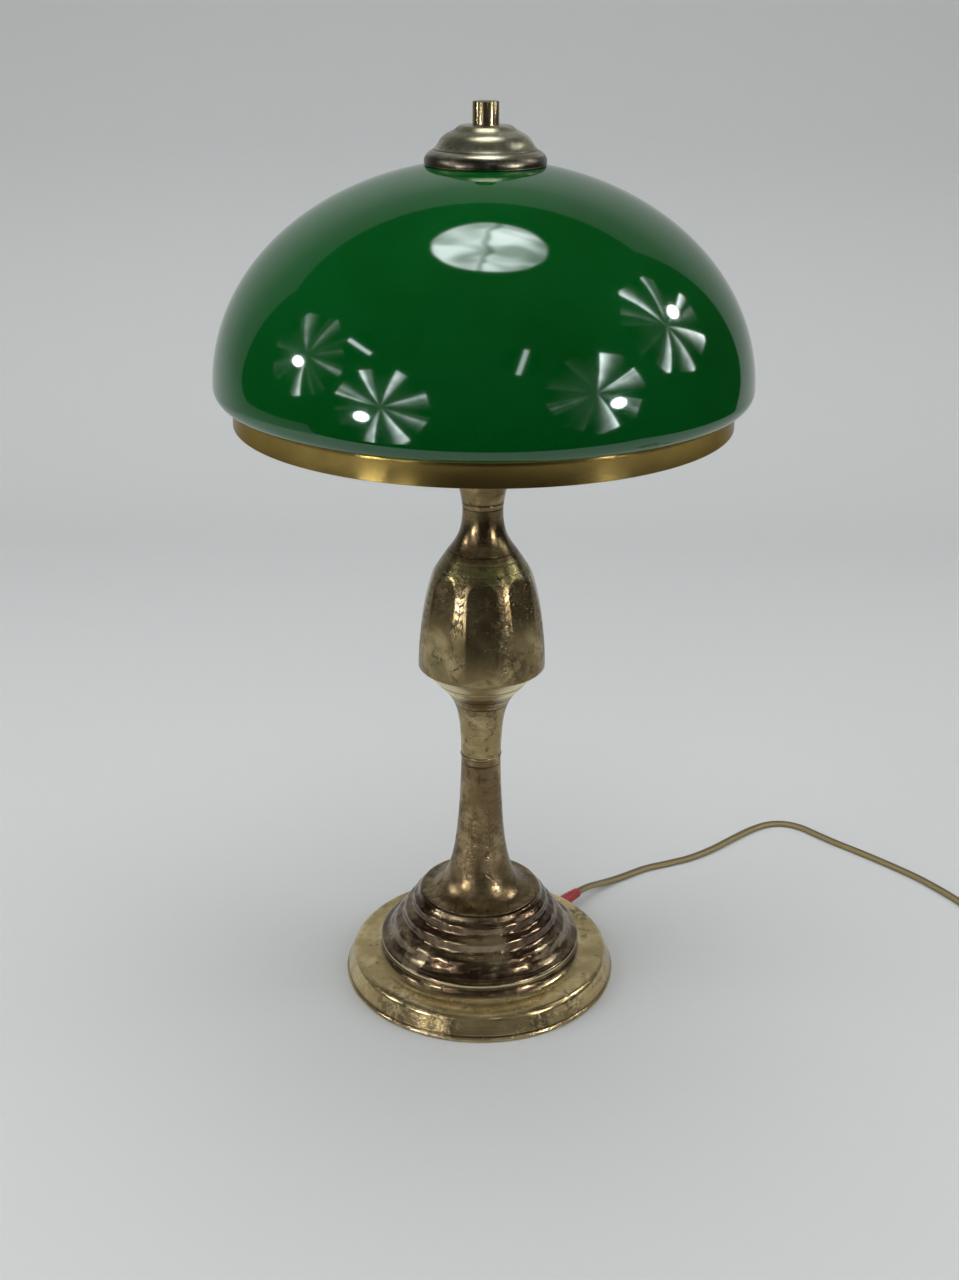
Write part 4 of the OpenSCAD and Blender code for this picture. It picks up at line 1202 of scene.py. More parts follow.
def ease(t: float) -> float:
    """A smooth rise from 0 to 1.

    Args:
        t: How far along the rise is.

    Returns:
        The height of the rise.
    """
    held = min(1.0, max(0.0, t))
    return held * held * (3 - 2 * held)


RED_BROWN: Colour = (0.2, 0.12, 0.065)
UMBER: Colour = (0.05, 0.032, 0.018)
MOSS: Colour = (0.2, 0.2, 0.085)


@dataclass
class Column:
    """The turned column from the foot plate to the flared collar.

    Attributes:
        bore: The radius of the hole for the rod.
        foot: The radius of the foot plate.
        waist: The radius of the narrowest place.
        flare: The radius at the top of the upper stem.
        cup: The radius of the cup's edge.
        bell: The radius of the bell at its widest.
        bell_top: The radius at the top of the bell.
        collar: The radius of the collar's edge.
        wall: The thickness of the cast walls.
        flutes: How many hollows go round the bell.
        flute_round: The rounding of a hollow across.
        flute_depth: How deep a hollow is.
    """

    bore: float = 5.2
    foot: float = 36.8
    waist: float = 11.95
    flare: float = 23.2
    cup: float = 36.0
    bell: float = 38.4
    bell_top: float = 21.4
    collar: float = 20.0
    wall: float = 2.2
    flutes: int = 8
    flute_round: float = 200.0
    flute_depth: float = 1.3

    def lower_stem(self) -> bpy.types.Object:
        """Make the trumpet-shaped stem with its foot plate.

        Returns:
            The stem.
        """
        top = AT.stem_seam
        foot = self.foot
        plate = [(28.0, AT.dome), (foot - 2.4, AT.dome), (foot - 2.4, 57.3), (foot - 0.2, 57.3),
                 *arc((foot - 0.3, 57.95), 0.42, -70, 70, 6), (foot - 0.7, 58.6)]
        curve = bend((foot - 1.4, 58.8), (foot - 18.4, 58.8), (13.55, 82.6), (self.waist, top - 0.4), 44)
        groove = [p if abs(p[1] - 112) > 1.3 else (p[0] - 0.3, p[1]) for p in curve]
        inner = [p for p in inside(curve, 1.9) if p[1] < top - 4]
        outline = [*plate, *groove, (self.waist - 0.4, top), (self.bore, top), (self.bore, top - 4),
                   (self.waist - 1.9, top - 4), *reversed(inner), (28.0, 57.0)]
        stem = turn("trumpet_stem", outline, 160, 40)
        row = Relief(12.4, 88, 32, 4.2, wave=15, circle=2.4, deep=0.6)
        # The dark line at 57.0 mm is painted shade under the foot plate's edge.
        finish = AgedMetal("Engraved stem", (0.4, 0.305, 0.16), (0.18, 0.127, 0.06), UMBER, bloom=RED_BROWN,
                           bloom_share=0.45, stain=0.5, rough=(0.3, 0.42), turned=0.8, turned_depth=0.03, relief=row,
                           grooves_and_shade_lines=((146.5, 0.3, 0.4), (57.0, 0.35, 0.3)), pits=0.6)
        clad(stem, finish.build())
        return place(stem, Body.BASE, ["lower_stem"])

    def upper_stem(self) -> bpy.types.Object:
        """Make the short flared stem with the bead at its foot.

        Returns:
            The stem.
        """
        low = AT.stem_seam
        curve = bend((12.1, low), (12.45, low + 28), (14.95, AT.cup - 8.3), (self.flare, AT.cup), 30)
        outer = [(self.bore, low), (11.3, low), *arc((11.75, low + 0.95), 0.9, -80, 80, 10),
                 *[p for p in curve if low + 2.2 < p[1]]]
        inner = [p for p in inside(curve, self.wall) if low + 4 < p[1] < AT.cup - 0.4]
        outline = [*outer, (self.flare - 3.3, AT.cup), *reversed(inner), (9.9, low + 4), (self.bore, low + 4)]
        stem = turn("flared_stem", outline, 160, 40)
        row = Relief(13.4, 184, 20, 4.4, wave=11, circle=2.4, deep=0.7)
        finish = AgedMetal("Engraved flared stem", (0.58, 0.47, 0.26), (0.36, 0.275, 0.13), UMBER, bloom_share=0.25,
                           stain=0.42, rough=(0.28, 0.42), turned=0.7, turned_depth=0.02, relief=row,
                           grooves_and_shade_lines=((192.6, 0.3, 0.4), (186.5, 0.25, 0.35)), pits=0.5)
        clad(stem, finish.build())
        return place(stem, Body.BASE, ["upper_stem"])

    def bell_cup(self) -> bpy.types.Object:
        """Make the light cup under the bell.

        Returns:
            The cup.
        """
        foot, rise = Vector((self.flare, AT.cup)), Vector((self.cup - self.flare, AT.bell - AT.cup))
        marks = ((0.0, 0.0), (0.05, 0.12), (0.1, 0.0), (0.35, 0.0), (0.37, -0.1), (0.40, -0.45), (0.43, -0.1),
                 (0.45, 0.0), (0.9, 0.05), (0.96, 0.0), (1.0, -0.12))
        out = Vector((rise.y, -rise.x)).normalized()
        outer = [tuple(foot + rise * share + out * swell) for share, swell in marks]
        outer[0], outer[-1] = tuple(foot), (self.cup, AT.bell)
        outline = [*outer, (self.cup - 3, AT.bell), (self.flare - 2.9, AT.cup + 0.4), (self.flare - 3.2, AT.cup)]
        cup = turn("light_cup", outline, 160, 30)
        finish = AgedMetal("Straw brass", (0.98, 0.87, 0.55), (0.86, 0.73, 0.42), (0.13, 0.09, 0.045), bloom_share=0.1,
                           stain=0.24, rough=(0.3, 0.42), turned=0.8, turned_depth=0.02, pits=0.6,
                           grooves_and_shade_lines=((201.9, 0.35, 0.4),))
        clad(cup, finish.build())
        return place(cup, Body.BASE, ["bell_cup"])

    def bell_line(self) -> list[Point]:
        """The outer face of the bell before its hollows are pressed in.

        Returns:
            The outline's points, running upward.
        """
        side = arc((self.bell - 178, 214), 178, 0.2, 15.64, 40)
        last, top = side[-1], (self.bell_top, AT.bell_seam)
        lean = Vector((-0.56, 0.83)).normalized() * 7
        set_out = Vector(last) + Vector((-math.sin(math.radians(15.64)), math.cos(math.radians(15.64)))) * 7
        shoulder = bend(last, tuple(set_out), tuple(Vector(top) - lean), top, 20)[1:]
        return [*arc((36.2, AT.bell + 2), 2, -80, -10, 8), *side, *shoulder]

    def press_flutes(self, corner: Vector) -> Vector:
        """Press the hollows into the bell.

        Args:
            corner: A corner of the bell.

        Returns:
            Its place in or beside a hollow.
        """
        pitch = math.tau / self.flutes
        far = math.hypot(corner.x, corner.y)
        turned = (math.atan2(corner.y, corner.x) + math.pi / 2 + pitch / 2) % pitch - pitch / 2
        up = min(abs(corner.z - 214), 120)
        floor = self.bell - 178 + math.sqrt((178 - self.flute_depth) ** 2 - up * up)
        centre = floor + self.flute_round
        reach = centre * math.cos(turned) - math.sqrt(self.flute_round**2 - (centre * math.sin(turned)) ** 2)
        if far < floor - 1.5 or far <= reach:
            return corner
        return Vector((corner.x * reach / far, corner.y * reach / far, corner.z))

    def bell_body(self) -> bpy.types.Object:
        """Make the fluted bell.

        Returns:
            The bell.
        """
        line = self.bell_line()
        inner = inside(line, self.wall + self.flute_depth)
        inner[0], inner[-1] = (32.4, AT.bell), (self.bell_top - 4.2, AT.bell_seam)
        bell = turn("fluted_bell", [*line, *reversed(inner)], 320, 40)
        reshape(bell, self.press_flutes)
        row = Relief(34.5, 247.5, 28, 5.2, circle=2.6)
        # The two dark patches low on the bell's front are painted shade that dulls the floor's reflection there.
        finish = AgedMetal("Engraved bell", (0.4, 0.315, 0.165), (0.21, 0.156, 0.072), UMBER, bloom=MOSS,
                           bloom_share=0.25, stain=0.4, rough=(0.24, 0.38), relief=row, pits=0.5,
                           tarnish_and_shade_band=(277, 3, 7), tarnish_and_shade_colour=(0.2, 0.18, 0.075), patches=((20, -33, 222, 16), (-26, -27, 226, 9)),
                           grooves_and_shade_lines=((279.2, 0.05, 0.25), (273.7, 0.02, 0.22), (270.6, 0.02, 0.2)))
        clad(bell, finish.build())
        return place(bell, Body.BASE, ["bell"])

    def neck(self) -> bpy.types.Object:
        """Make the plain neck over the bell.

        Returns:
            The neck.
        """
        low, top = AT.bell_seam, AT.neck_seam
        lean = Vector((self.bell_top, low)) + Vector((-0.56, 0.83)).normalized() * 7.5
        curve = bend((self.bell_top, low), tuple(lean), (11.45, 292), (11.85, top - 0.4), 30)
        inner = [p for p in inside(curve, self.wall) if low + 1 < p[1] < top - 4]
        outline = [(self.bell_top - 3.6, low), *curve, (11.45, top), (self.bore, top), (self.bore, top - 4),
                   (9.6, top - 4), *reversed(inner)]
        neck = turn("plain_neck", outline, 160, 40)
        finish = AgedMetal("Red-brown neck", (0.24, 0.18, 0.092), (0.12, 0.082, 0.039), (0.045, 0.025, 0.014), bloom=MOSS,
                           bloom_share=0.2, stain=0.45, rough=(0.24, 0.38), turned=0.8, turned_depth=0.03, pits=0.9,
                           grooves_and_shade_lines=((283.4, 0.25, 0.3),))
        clad(neck, finish.build())
        return place(neck, Body.BASE, ["bell_neck"])

    def flared_collar(self) -> bpy.types.Object:
        """Make the flared collar under the shade.

        Returns:
            The collar.
        """
        low, top = AT.neck_seam, AT.collar
        curve = bend((11.95, low + 0.4), (12.65, 318), (16, 328), (self.collar, 346), 26)
        inner = [p for p in inside(curve, self.wall) if low + 4 < p[1] < 345]
        outline = [(self.bore, low), (11.65, low), *curve, (self.collar, top), (self.bore, top), (self.bore, top - 3),
                   (self.collar - 2.6, top - 3), *reversed(inner), (9.7, low + 4), (self.bore, low + 4)]
        collar = turn("flared_collar", outline, 160, 40)
        finish = AgedMetal("Red-brown collar", (0.36, 0.27, 0.13), (0.175, 0.122, 0.056), (0.045, 0.025, 0.014),
                           bloom_share=0.15, stain=0.42, rough=(0.24, 0.4), turned=0.8, turned_depth=0.03, pits=0.3,
                           grooves_and_shade_lines=((312.2, 0.3, 0.4), (340, 0.25, 0.35)))
        clad(collar, finish.build())
        return place(collar, Body.BASE, ["neck_collar"])

    def build(self) -> list[bpy.types.Object]:
        """Make the whole column.

        Returns:
            Its pieces from the foot up.
        """
        return [self.lower_stem(), self.upper_stem(), self.bell_cup(), self.bell_body(), self.neck(),
                self.flared_collar()]


def softened(route: Sequence[Sequence[float]], low: float, steps: int = 8) -> Route:
    """A smooth line through the points of a route.

    Args:
        route: The route's points in millimetres.
        low: The least height of the line.
        steps: How many points each stretch is given.

    Returns:
        The line's points.
    """
    points = [Vector(p) for p in route]
    line = []
    for i in range(len(points) - 1):
        a, b, c = points[max(i - 1, 0)], points[i], points[i + 1]
        d = points[min(i + 2, len(points) - 1)]
        for k in range(steps):
            t = k / steps
            at = 0.5 * (2 * b + (c - a) * t + (2 * a - 5 * b + 4 * c - d) * t**2 + (3 * b - a - 3 * c + d) * t**3)
            line.append(Vector((at.x, at.y, max(at.z, low))))
    return [*line, points[-1]]


def evenly(line: Route, pace: float) -> Route:
    """The same line with its points evenly apart.

    Args:
        line: The line's points.
        pace: How far apart the new points are.

    Returns:
        The new points.
    """
    lengths = [0.0]
    for a, b in pairwise(line):
        lengths.append(lengths[-1] + (b - a).length)
    count = max(2, round(lengths[-1] / pace))
    even, i = [], 0
    for k in range(count + 1):
        want = lengths[-1] * k / count
        while i < len(line) - 2 and lengths[i + 1] < want:
            i += 1
        share = (want - lengths[i]) / max(1e-9, lengths[i + 1] - lengths[i])
        even.append(line[i].lerp(line[i + 1], min(1.0, max(0.0, share))))
    return even


@dataclass
class Coil:
    """The put-away length of cord, spiralled in on the table and out again on top.

    Attributes:
        middle: The coil's middle on the table.
        outer: The radius of its outermost turn.
        turns: How many turns it goes in.
        pitch: The spacing of the turns.
        climb: The height of the second layer over the first.
        low: The height of the first layer's middle.
    """

    middle: Point = (415.0, -75.0)
    outer: float = 37.2
    turns: float = 3.25
    pitch: float = 5.8
    climb: float = 3.9
    low: float = 1.7

    def line(self) -> Route:
        """The coil's line.

        Returns:
            Its points.
        """
        half = self.turns * 360
        line = []
        for step in range(round(2 * half / 5) + 1):
            a = step * 5
            far = self.outer - self.pitch / 360 * min(a, 2 * half - a)
            turned = math.radians(a - 90)
            line.append(Vector((self.middle[0] + far * math.cos(turned), self.middle[1] + far * math.sin(turned),
                                self.low + self.climb * ease((a - half + 90) / 180))))
        return line


class Ends(Enum):
    """What a cord's far end goes into."""

    FITTING = "fitting"
    PLUG = "plug"


@dataclass
class TwinCord:
    """One run of flat twin cord.

    Attributes:
        name: The piece's name.
        line: The line that its middle follows, in millimetres.
        nodes: The plain solids that it stands for.
        end: What its far end goes into; not used.
        end_pieces: The pieces at that end; not used.
        wide: Its width.
        thick: Its thickness.
    """

    name: str
    line: Route
    nodes: tuple[str, ...]
    end: Ends
    end_pieces: tuple[str, ...]
    wide: float = 5.2
    thick: float = 3.4

    def section(self) -> bpy.types.Object:
        """Make the cord's section, two strands side by side.

        Returns:
            The section as a closed curve.
        """
        curve = bpy.data.curves.new("section", "CURVE")
        curve.dimensions = "2D"
        spline = curve.splines.new("POLY")
        across, count = (self.wide - self.thick) / 2, 9
        points = [(across + self.thick / 2 * math.cos(a), self.thick / 2 * math.sin(a))
                  for a in (math.radians(-66 + 132 * i / (count - 1)) for i in range(count))]
        points += [(-x, -y) for x, y in points]
        points.insert(count, (0.0, self.thick / 2 * 0.82))
        points.append((0.0, -self.thick / 2 * 0.82))
        spline.points.add(len(points) - 1)
        for point, (x, y) in zip(spline.points, points):
            point.co = (x * MM, y * MM, 0, 1)
        spline.use_cyclic_u = True
        section = bpy.data.objects.new("section", curve)
        bpy.context.scene.collection.objects.link(section)
        return section

    def build(self, material: bpy.types.Material) -> bpy.types.Object:
        """Make the cord.

        Args:
            material: The cord's finish.

        Returns:
            The cord.
        """
        select_nothing()
        path = evenly(self.line, 2.0)
        curve = bpy.data.curves.new(self.name, "CURVE")
        curve.dimensions, curve.twist_mode = "3D", "Z_UP"
        spline = curve.splines.new("POLY")
        spline.points.add(len(path) - 1)
        for point, at in zip(spline.points, path):
            point.co = (*(at * MM), 1)
        section = self.section()
        curve.bevel_mode, curve.bevel_object, curve.use_fill_caps = "OBJECT", section, True
        cord = bpy.data.objects.new(self.name, curve)
        bpy.context.scene.collection.objects.link(cord)
        cord.select_set(True)
        bpy.context.view_layer.objects.active = cord
        bpy.ops.object.convert(target="MESH")
        bpy.data.objects.remove(section)
        cord = bpy.context.object
        cord.name = cord.data.name = self.name
        cord.data.uv_layers[0].name = "along"
        clad(cord, material)
        place(cord, Body.BASE, self.nodes)
        return cord


@dataclass
class CordSet:
    """The cord from the base through its switch to the plug.

    Attributes:
        coil: The put-away length.
        first: The route from the base to the switch.
        link: The route from the switch to the coil.
        tail: The route from the coil to the plug.
        low: The height of the cord's middle where it lies on the table.
    """

    coil: Coil
    first: tuple[tuple[float, float, float], ...] = (
        (67.25, 74.69, 7.4), (68.92, 76.54, 7.4), (70.53, 78.33, 7.4), (76.4, 84.6, 6.4), (83.4, 91.4, 4.4),
        (91.6, 98.4, 2.6), (102, 106, 1.8), (118, 117, 1.7), (135, 124.5, 1.7), (152, 132.5, 1.7),
        (170, 145.5, 1.7), (192, 165.5, 1.7), (206, 177, 1.7), (218, 183.5, 1.7), (230, 184, 1.7),
        (241, 178.5, 1.7), (251, 168, 1.7), (262, 156.5, 1.7), (285, 134.5, 1.7), (308, 110, 1.7),
        (323, 89.5, 1.7), (335, 69, 1.7), (344, 51, 1.7), (350, 33, 2), (352, 19, 3.6), (352, 8, 6),
        (352, 0, 6), (352, -8, 6))
    link: tuple[tuple[float, float, float], ...] = (
        (352, -64, 6), (352, -70, 6), (352, -76, 6), (352, -82, 5.2), (352.3, -88, 3.4), (353.6, -93.6, 2.1),
        (356.8, -99.6, 1.7), (361.8, -105, 1.7), (368.4, -109.4, 1.7), (376, -111.8, 1.7), (384, -112.2, 1.7),
        (396, -112.2, 1.7), (409, -112.2, 1.7))
    tail: tuple[tuple[float, float, float], ...] = (
        (409.8, -37.8, 5.6), (408.4, -37.8, 5.6), (407, -37.8, 5.6), (402.6, -37, 5.5), (398, -34.6, 4.6),
        (393.6, -30.8, 3.2), (389.6, -25.4, 2), (387.2, -19.6, 1.7), (386, -13, 1.7), (385.8, -5, 1.8),
        (385.8, 4, 2.6), (385.8, 12, 4.4), (385.8, 19, 6.2), (385.8, 25, 6.85), (385.8, 30, 6.85),
        (385.8, 40, 6.85))
    low: float = 1.7

    def build(self) -> list[bpy.types.Object]:
        """Make both runs of cord.

        Returns:
            The two cords.
        """
        cover = Cover("Khaki cord cover", (0.235, 0.185, 0.075), (0.1, 0.072, 0.03)).build()
        switch = ("switch_base", "switch_cover", "switch_rocker", "switch_contacts", "switch_leads", "switch_screws")
        first = TwinCord("cord_to_switch", softened(self.first, self.low), ("cord",), Ends.FITTING, switch)
        rest = [*softened(self.link, self.low), *self.coil.line(), *softened(self.tail, self.low)]
        second = TwinCord("cord_to_plug", rest, ("cord_link", "cord_coil", "cord_tail"), Ends.PLUG,
                          ("plug_body", "plug_pins"))
        return [first.build(cover), second.build(cover)]


@dataclass
class Sleeve:
    """The soft sleeve where the cord leaves the foot.

    Attributes:
        angle: The direction in which it points, in degrees.
        height: The height of its axis.
        start: How far from the axis of the column it starts.
        end: How far out it ends.
        wide: Its radius inside the foot.
        bore: The radius of its hole.
    """

    angle: float = 48.0
    height: float = 7.4
    start: float = 77.3
    end: float = 100.5
    wide: float = 4.0
    bore: float = 2.7

    def build(self) -> bpy.types.Object:
        """Make the sleeve.

        Returns:
            The sleeve.
        """
        mouth = self.wide - 0.8
        outline = [(self.bore, self.start), (self.wide, self.start), (self.wide, 85.3), (self.wide - 0.1, 86.2),
                   *[(self.wide - 0.1 - (self.wide - 0.1 - mouth) * i / 6 + (0.1 if i % 2 else -0.08), 87.5 + 2 * i)
                     for i in range(6)],
                   (mouth + 0.05, self.end - 0.5), (mouth - 0.25, self.end), (self.bore, self.end)]
        sleeve = turn("red_sleeve", outline, 48, 50)
        sleeve.rotation_euler = (0, math.pi / 2, math.radians(self.angle))
        sleeve.location = (0, 0, self.height * MM)
        select_nothing()
        sleeve.select_set(True)
        bpy.context.view_layer.objects.active = sleeve
        bpy.ops.object.transform_apply(location=True, rotation=True, scale=True)
        finish = PlainStuff("Red sleeve", (0.38, 0.03, 0.032), (0.17, 0.014, 0.016), 0.42, grain=1200, depth=0.03)
        clad(sleeve, finish.build())
        return place(sleeve, Body.BASE, ["cord_sleeve"])


@dataclass(frozen=True)
class Dress:
    """The finish of some of the plain solids.

    Attributes:
        slot: The material slot.
        finish: The finish.
        nodes: The plain solids.
    """

    slot: str
    finish: PlainStuff | AgedMetal
    nodes: tuple[str, ...]


@dataclass
class Fittings:
    """The plain solids that stay as they are, each with its finish."""

    sets: tuple[Dress, ...] = (
        Dress("felt", PlainStuff("Dark felt", (0.02, 0.04, 0.025), (0.05, 0.075, 0.055), 0.95, grain=2600, depth=0.3),
              ("cap_felt", "base_felt")),
        Dress("rubber_strip", PlainStuff("Black rubber", (0.02, 0.02, 0.02), (0.05, 0.05, 0.05), 0.7),
              ("ring_strip",)),
        Dress("plain_brass", AgedMetal("Plain brass", (0.68, 0.52, 0.26), (0.5, 0.36, 0.15), (0.14, 0.08, 0.03),
                                       bloom_share=0.2, stain=0.35, rough=(0.22, 0.38)),
              ("shade_spider", "spider_screws", "top_rod", "rod_nuts", "wiring_box", "wiring_box_lid", "box_nut",
               "holder_nipples", "holder_right", "holder_left", "stem_tube", "base_nut", "switch_contacts")),
        Dress("ceramic", PlainStuff("White ceramic", (0.78, 0.76, 0.7), (0.6, 0.57, 0.5), 0.22, mottle=0.3),
              ("terminal_block", "holder_insert_right", "holder_insert_left")),
        Dress("bulb_metal", PlainStuff("Bulb cap metal", (0.6, 0.6, 0.58), (0.4, 0.4, 0.38), 0.3, metal=1.0),
              ("bulb_cap_right", "bulb_cap_left")),
        Dress("opal_glass", PlainStuff("Opal bulb glass", (0.84, 0.83, 0.79), (0.76, 0.75, 0.7), 0.16, mottle=0.2,
                                       let_through=0.1),
              ("bulb_right", "bulb_left")),
        Dress("lead_cover", PlainStuff("Lead cover", (0.12, 0.08, 0.05), (0.06, 0.04, 0.03), 0.5),
              ("holder_leads", "inner_lead", "switch_leads")),
        Dress("cast_iron", PlainStuff("Cast iron", (0.06, 0.06, 0.062), (0.025, 0.023, 0.022), 0.6, metal=0.8,
                                      grain=700, depth=0.4),
              ("base_weight",)),
        Dress("steel", PlainStuff("Plain steel", (0.45, 0.45, 0.44), (0.25, 0.24, 0.22), 0.34, metal=1.0),
              ("base_washer", "base_plate", "switch_screws")),
        Dress("brown_plastic", PlainStuff("Brown plastic", (0.035, 0.016, 0.009), (0.07, 0.03, 0.014), 0.24,
                                          grain=600, depth=0.03),
              ("switch_base", "switch_cover", "switch_rocker", "plug_body")),
        Dress("nickel_pins", PlainStuff("Nickel plate", (0.66, 0.62, 0.54), (0.45, 0.42, 0.36), 0.2, metal=1.0),
              ("plug_pins",)))

    def dress(self, nodes: dict[str, bpy.types.Object]) -> None:
        """Give each plain solid its finish.

        Args:
            nodes: The plain solids by name.
        """
        for group in self.sets:
            material = group.finish.build()
            for name in group.nodes:
                clad(nodes[name], material)
        LOG.info("%d plain solids dressed", sum(len(group.nodes) for group in self.sets))


class Face(Enum):
    """What the face of a lamp head looks like."""

    UMBRELLA = "umbrella"
    BOX = "box"
    STRIP = "strip"


@dataclass(frozen=True)
class Reflector:
    """A lamp head as it shows in the glass.

    Attributes:
        name: Its name.
        start: The place on the glass, in millimetres, that it is seen in.
        toward: The direction to it from there.
        wide: Its radius in metres.
        glow: The brightness of its face.
        face: What its face looks like.
        core_at: Where the bulb stands on its face, as shares of its radius.
        spin: The turn of its folds, or of the strip, in degrees.
        far: How far away it is, in metres.
    """

    name: str
    start: tuple[float, float, float]
    toward: tuple[float, float, float]
    wide: float
    glow: float
    face: Face = Face.UMBRELLA
    core_at: Point = (0.0, 0.0)
    spin: float = 0.0
    far: float = 1.4

    def build(self) -> bpy.types.Object:
        """Make the lamp head's face.

        Returns:
            The face.
        """
        select_nothing()
        direction = Vector(self.toward).normalized()
        at = Vector(self.start) * MM + direction * self.far
        corners = 8 if self.face is Face.UMBRELLA else 32
        bpy.ops.mesh.primitive_circle_add(vertices=corners, radius=self.wide, fill_type="NGON")
        face = bpy.context.object
        face.name = self.name
        face.rotation_mode = "QUATERNION"
        face.rotation_quaternion = (-direction).to_track_quat("Z", "Y")
        face.location = at
        face.visible_camera = face.visible_diffuse = face.visible_shadow = False
        clad(face, self.glow_material())
        return face

    def glow_material(self) -> bpy.types.Material:
        """Make the glow of the face.

        Returns:
            The material.
        """
        graph = Graph(self.name)
        x, y, _ = graph.split()
        x, y = graph.math("MULTIPLY", x, 1 / self.wide), graph.math("MULTIPLY", y, 1 / self.wide)
        kinds = {Face.UMBRELLA: self.umbrella, Face.BOX: self.box, Face.STRIP: self.strip}
        light = graph.math("MULTIPLY", kinds[self.face](graph, x, y), self.glow)
        lamp = graph.node("ShaderNodeEmission", {"Strength": light})
        graph.tree.links.new(lamp.outputs[0], graph.output.inputs["Surface"])
        return graph.material

    def distance(self, graph: Graph, x: object, y: object) -> bpy.types.NodeSocket:
        """The distance from the middle.

        Args:
            graph: The material.
            x: The place along the face.
            y: The place up the face.

        Returns:
            The distance.
        """
        return graph.math("SQRT", graph.math("ADD", graph.math("MULTIPLY", x, x), graph.math("MULTIPLY", y, y)))

    def umbrella(self, graph: Graph, x: object, y: object) -> bpy.types.NodeSocket:
        """The light of eight tight panels round a bulb.

        Args:
            graph: The material.
            x: The place along the face.
            y: The place up the face.

        Returns:
            The light.
        """
        far = self.distance(graph, x, y)
        angle = graph.math("ADD", graph.math("ARCTAN2", y, x), math.radians(self.spin))
        part = graph.math("FRACT", graph.math("ADD", graph.math("MULTIPLY", angle, 8 / math.tau), 8.0))
        panel = graph.math("POWER", graph.math("SUBTRACT", 1.0, part), 4.5)
        round_it = graph.join(graph.math("DIVIDE", x, far), graph.math("DIVIDE", y, far), self.spin)
        uneven = graph.step(graph.noise(1.9, 2, at=round_it), 0.45, 0.6, 0.02, 1.0)
        cloth = graph.step(graph.noise(3.5 / self.wide, 3), 0.3, 0.7, 0.55, 1.1)
        light = graph.math("MULTIPLY", graph.math("MULTIPLY", panel, uneven), cloth)
        light = graph.math("ADD", graph.math("MULTIPLY", light, graph.step(far, 0.05, 0.4, 0.25, 1.0)),
                           graph.step(far, 0.3, 0.92, 0.01, 0.0))
        away_x = graph.math("MULTIPLY", graph.math("SUBTRACT", x, self.core_at[0]), 0.75)
        away = self.distance(graph, away_x, graph.math("SUBTRACT", y, self.core_at[1]))
        return graph.math("ADD", light, graph.math("MULTIPLY", graph.step(away, 0.125, 0.05), 9.0))

    def box(self, graph: Graph, x: object, y: object) -> bpy.types.NodeSocket:
        """The light of a white cloth in two soft halves, dimmer to one end.

        Args:
            graph: The material.
            x: The place along the face.
            y: The place up the face.

        Returns:
            The light.
        """
        at = graph.join(x, graph.math("MULTIPLY", y, 1.6), 0.0)
        waves = graph.noise(1.3, 1, 0.4, at, 0.5)
        cloth = graph.step(waves, 0.35, 0.65, 0.45, 1.3)
        lean = graph.math("ADD", x, graph.math("MULTIPLY", graph.math("SUBTRACT", waves, 0.5), 0.6))
        seam = graph.math("MULTIPLY", graph.band(lean, -0.04, 0.015, 0.09), 0.55)
        dim = graph.step(x, 0.35, 0.95, 1.0, 0.4)
        light = graph.math("MULTIPLY", graph.math("MULTIPLY", cloth, dim), graph.math("SUBTRACT", 1.0, seam))
        reach = graph.math("ADD", self.distance(graph, x, graph.math("MULTIPLY", y, 1.15)),
                           graph.math("MULTIPLY", waves, 0.12))
        return graph.math("MULTIPLY", light, graph.step(reach, 0.9, 0.97, 1.0, 0.0))

    def strip(self, graph: Graph, x: object, y: object) -> bpy.types.NodeSocket:
        """The light of a thin tube.

        Args:
            graph: The material.
            x: The place along the face.
            y: The place up the face.

        Returns:
            The light.
        """
        cos, sin = math.cos(math.radians(self.spin)), math.sin(math.radians(self.spin))
        along = graph.math("ADD", graph.math("MULTIPLY", x, cos), graph.math("MULTIPLY", y, sin))
        across = graph.math("SUBTRACT", graph.math("MULTIPLY", y, cos), graph.math("MULTIPLY", x, sin))
        return graph.math("MULTIPLY", graph.band(across, 0, 0.09, 0.06), graph.band(along, 0, 0.85, 0.1))


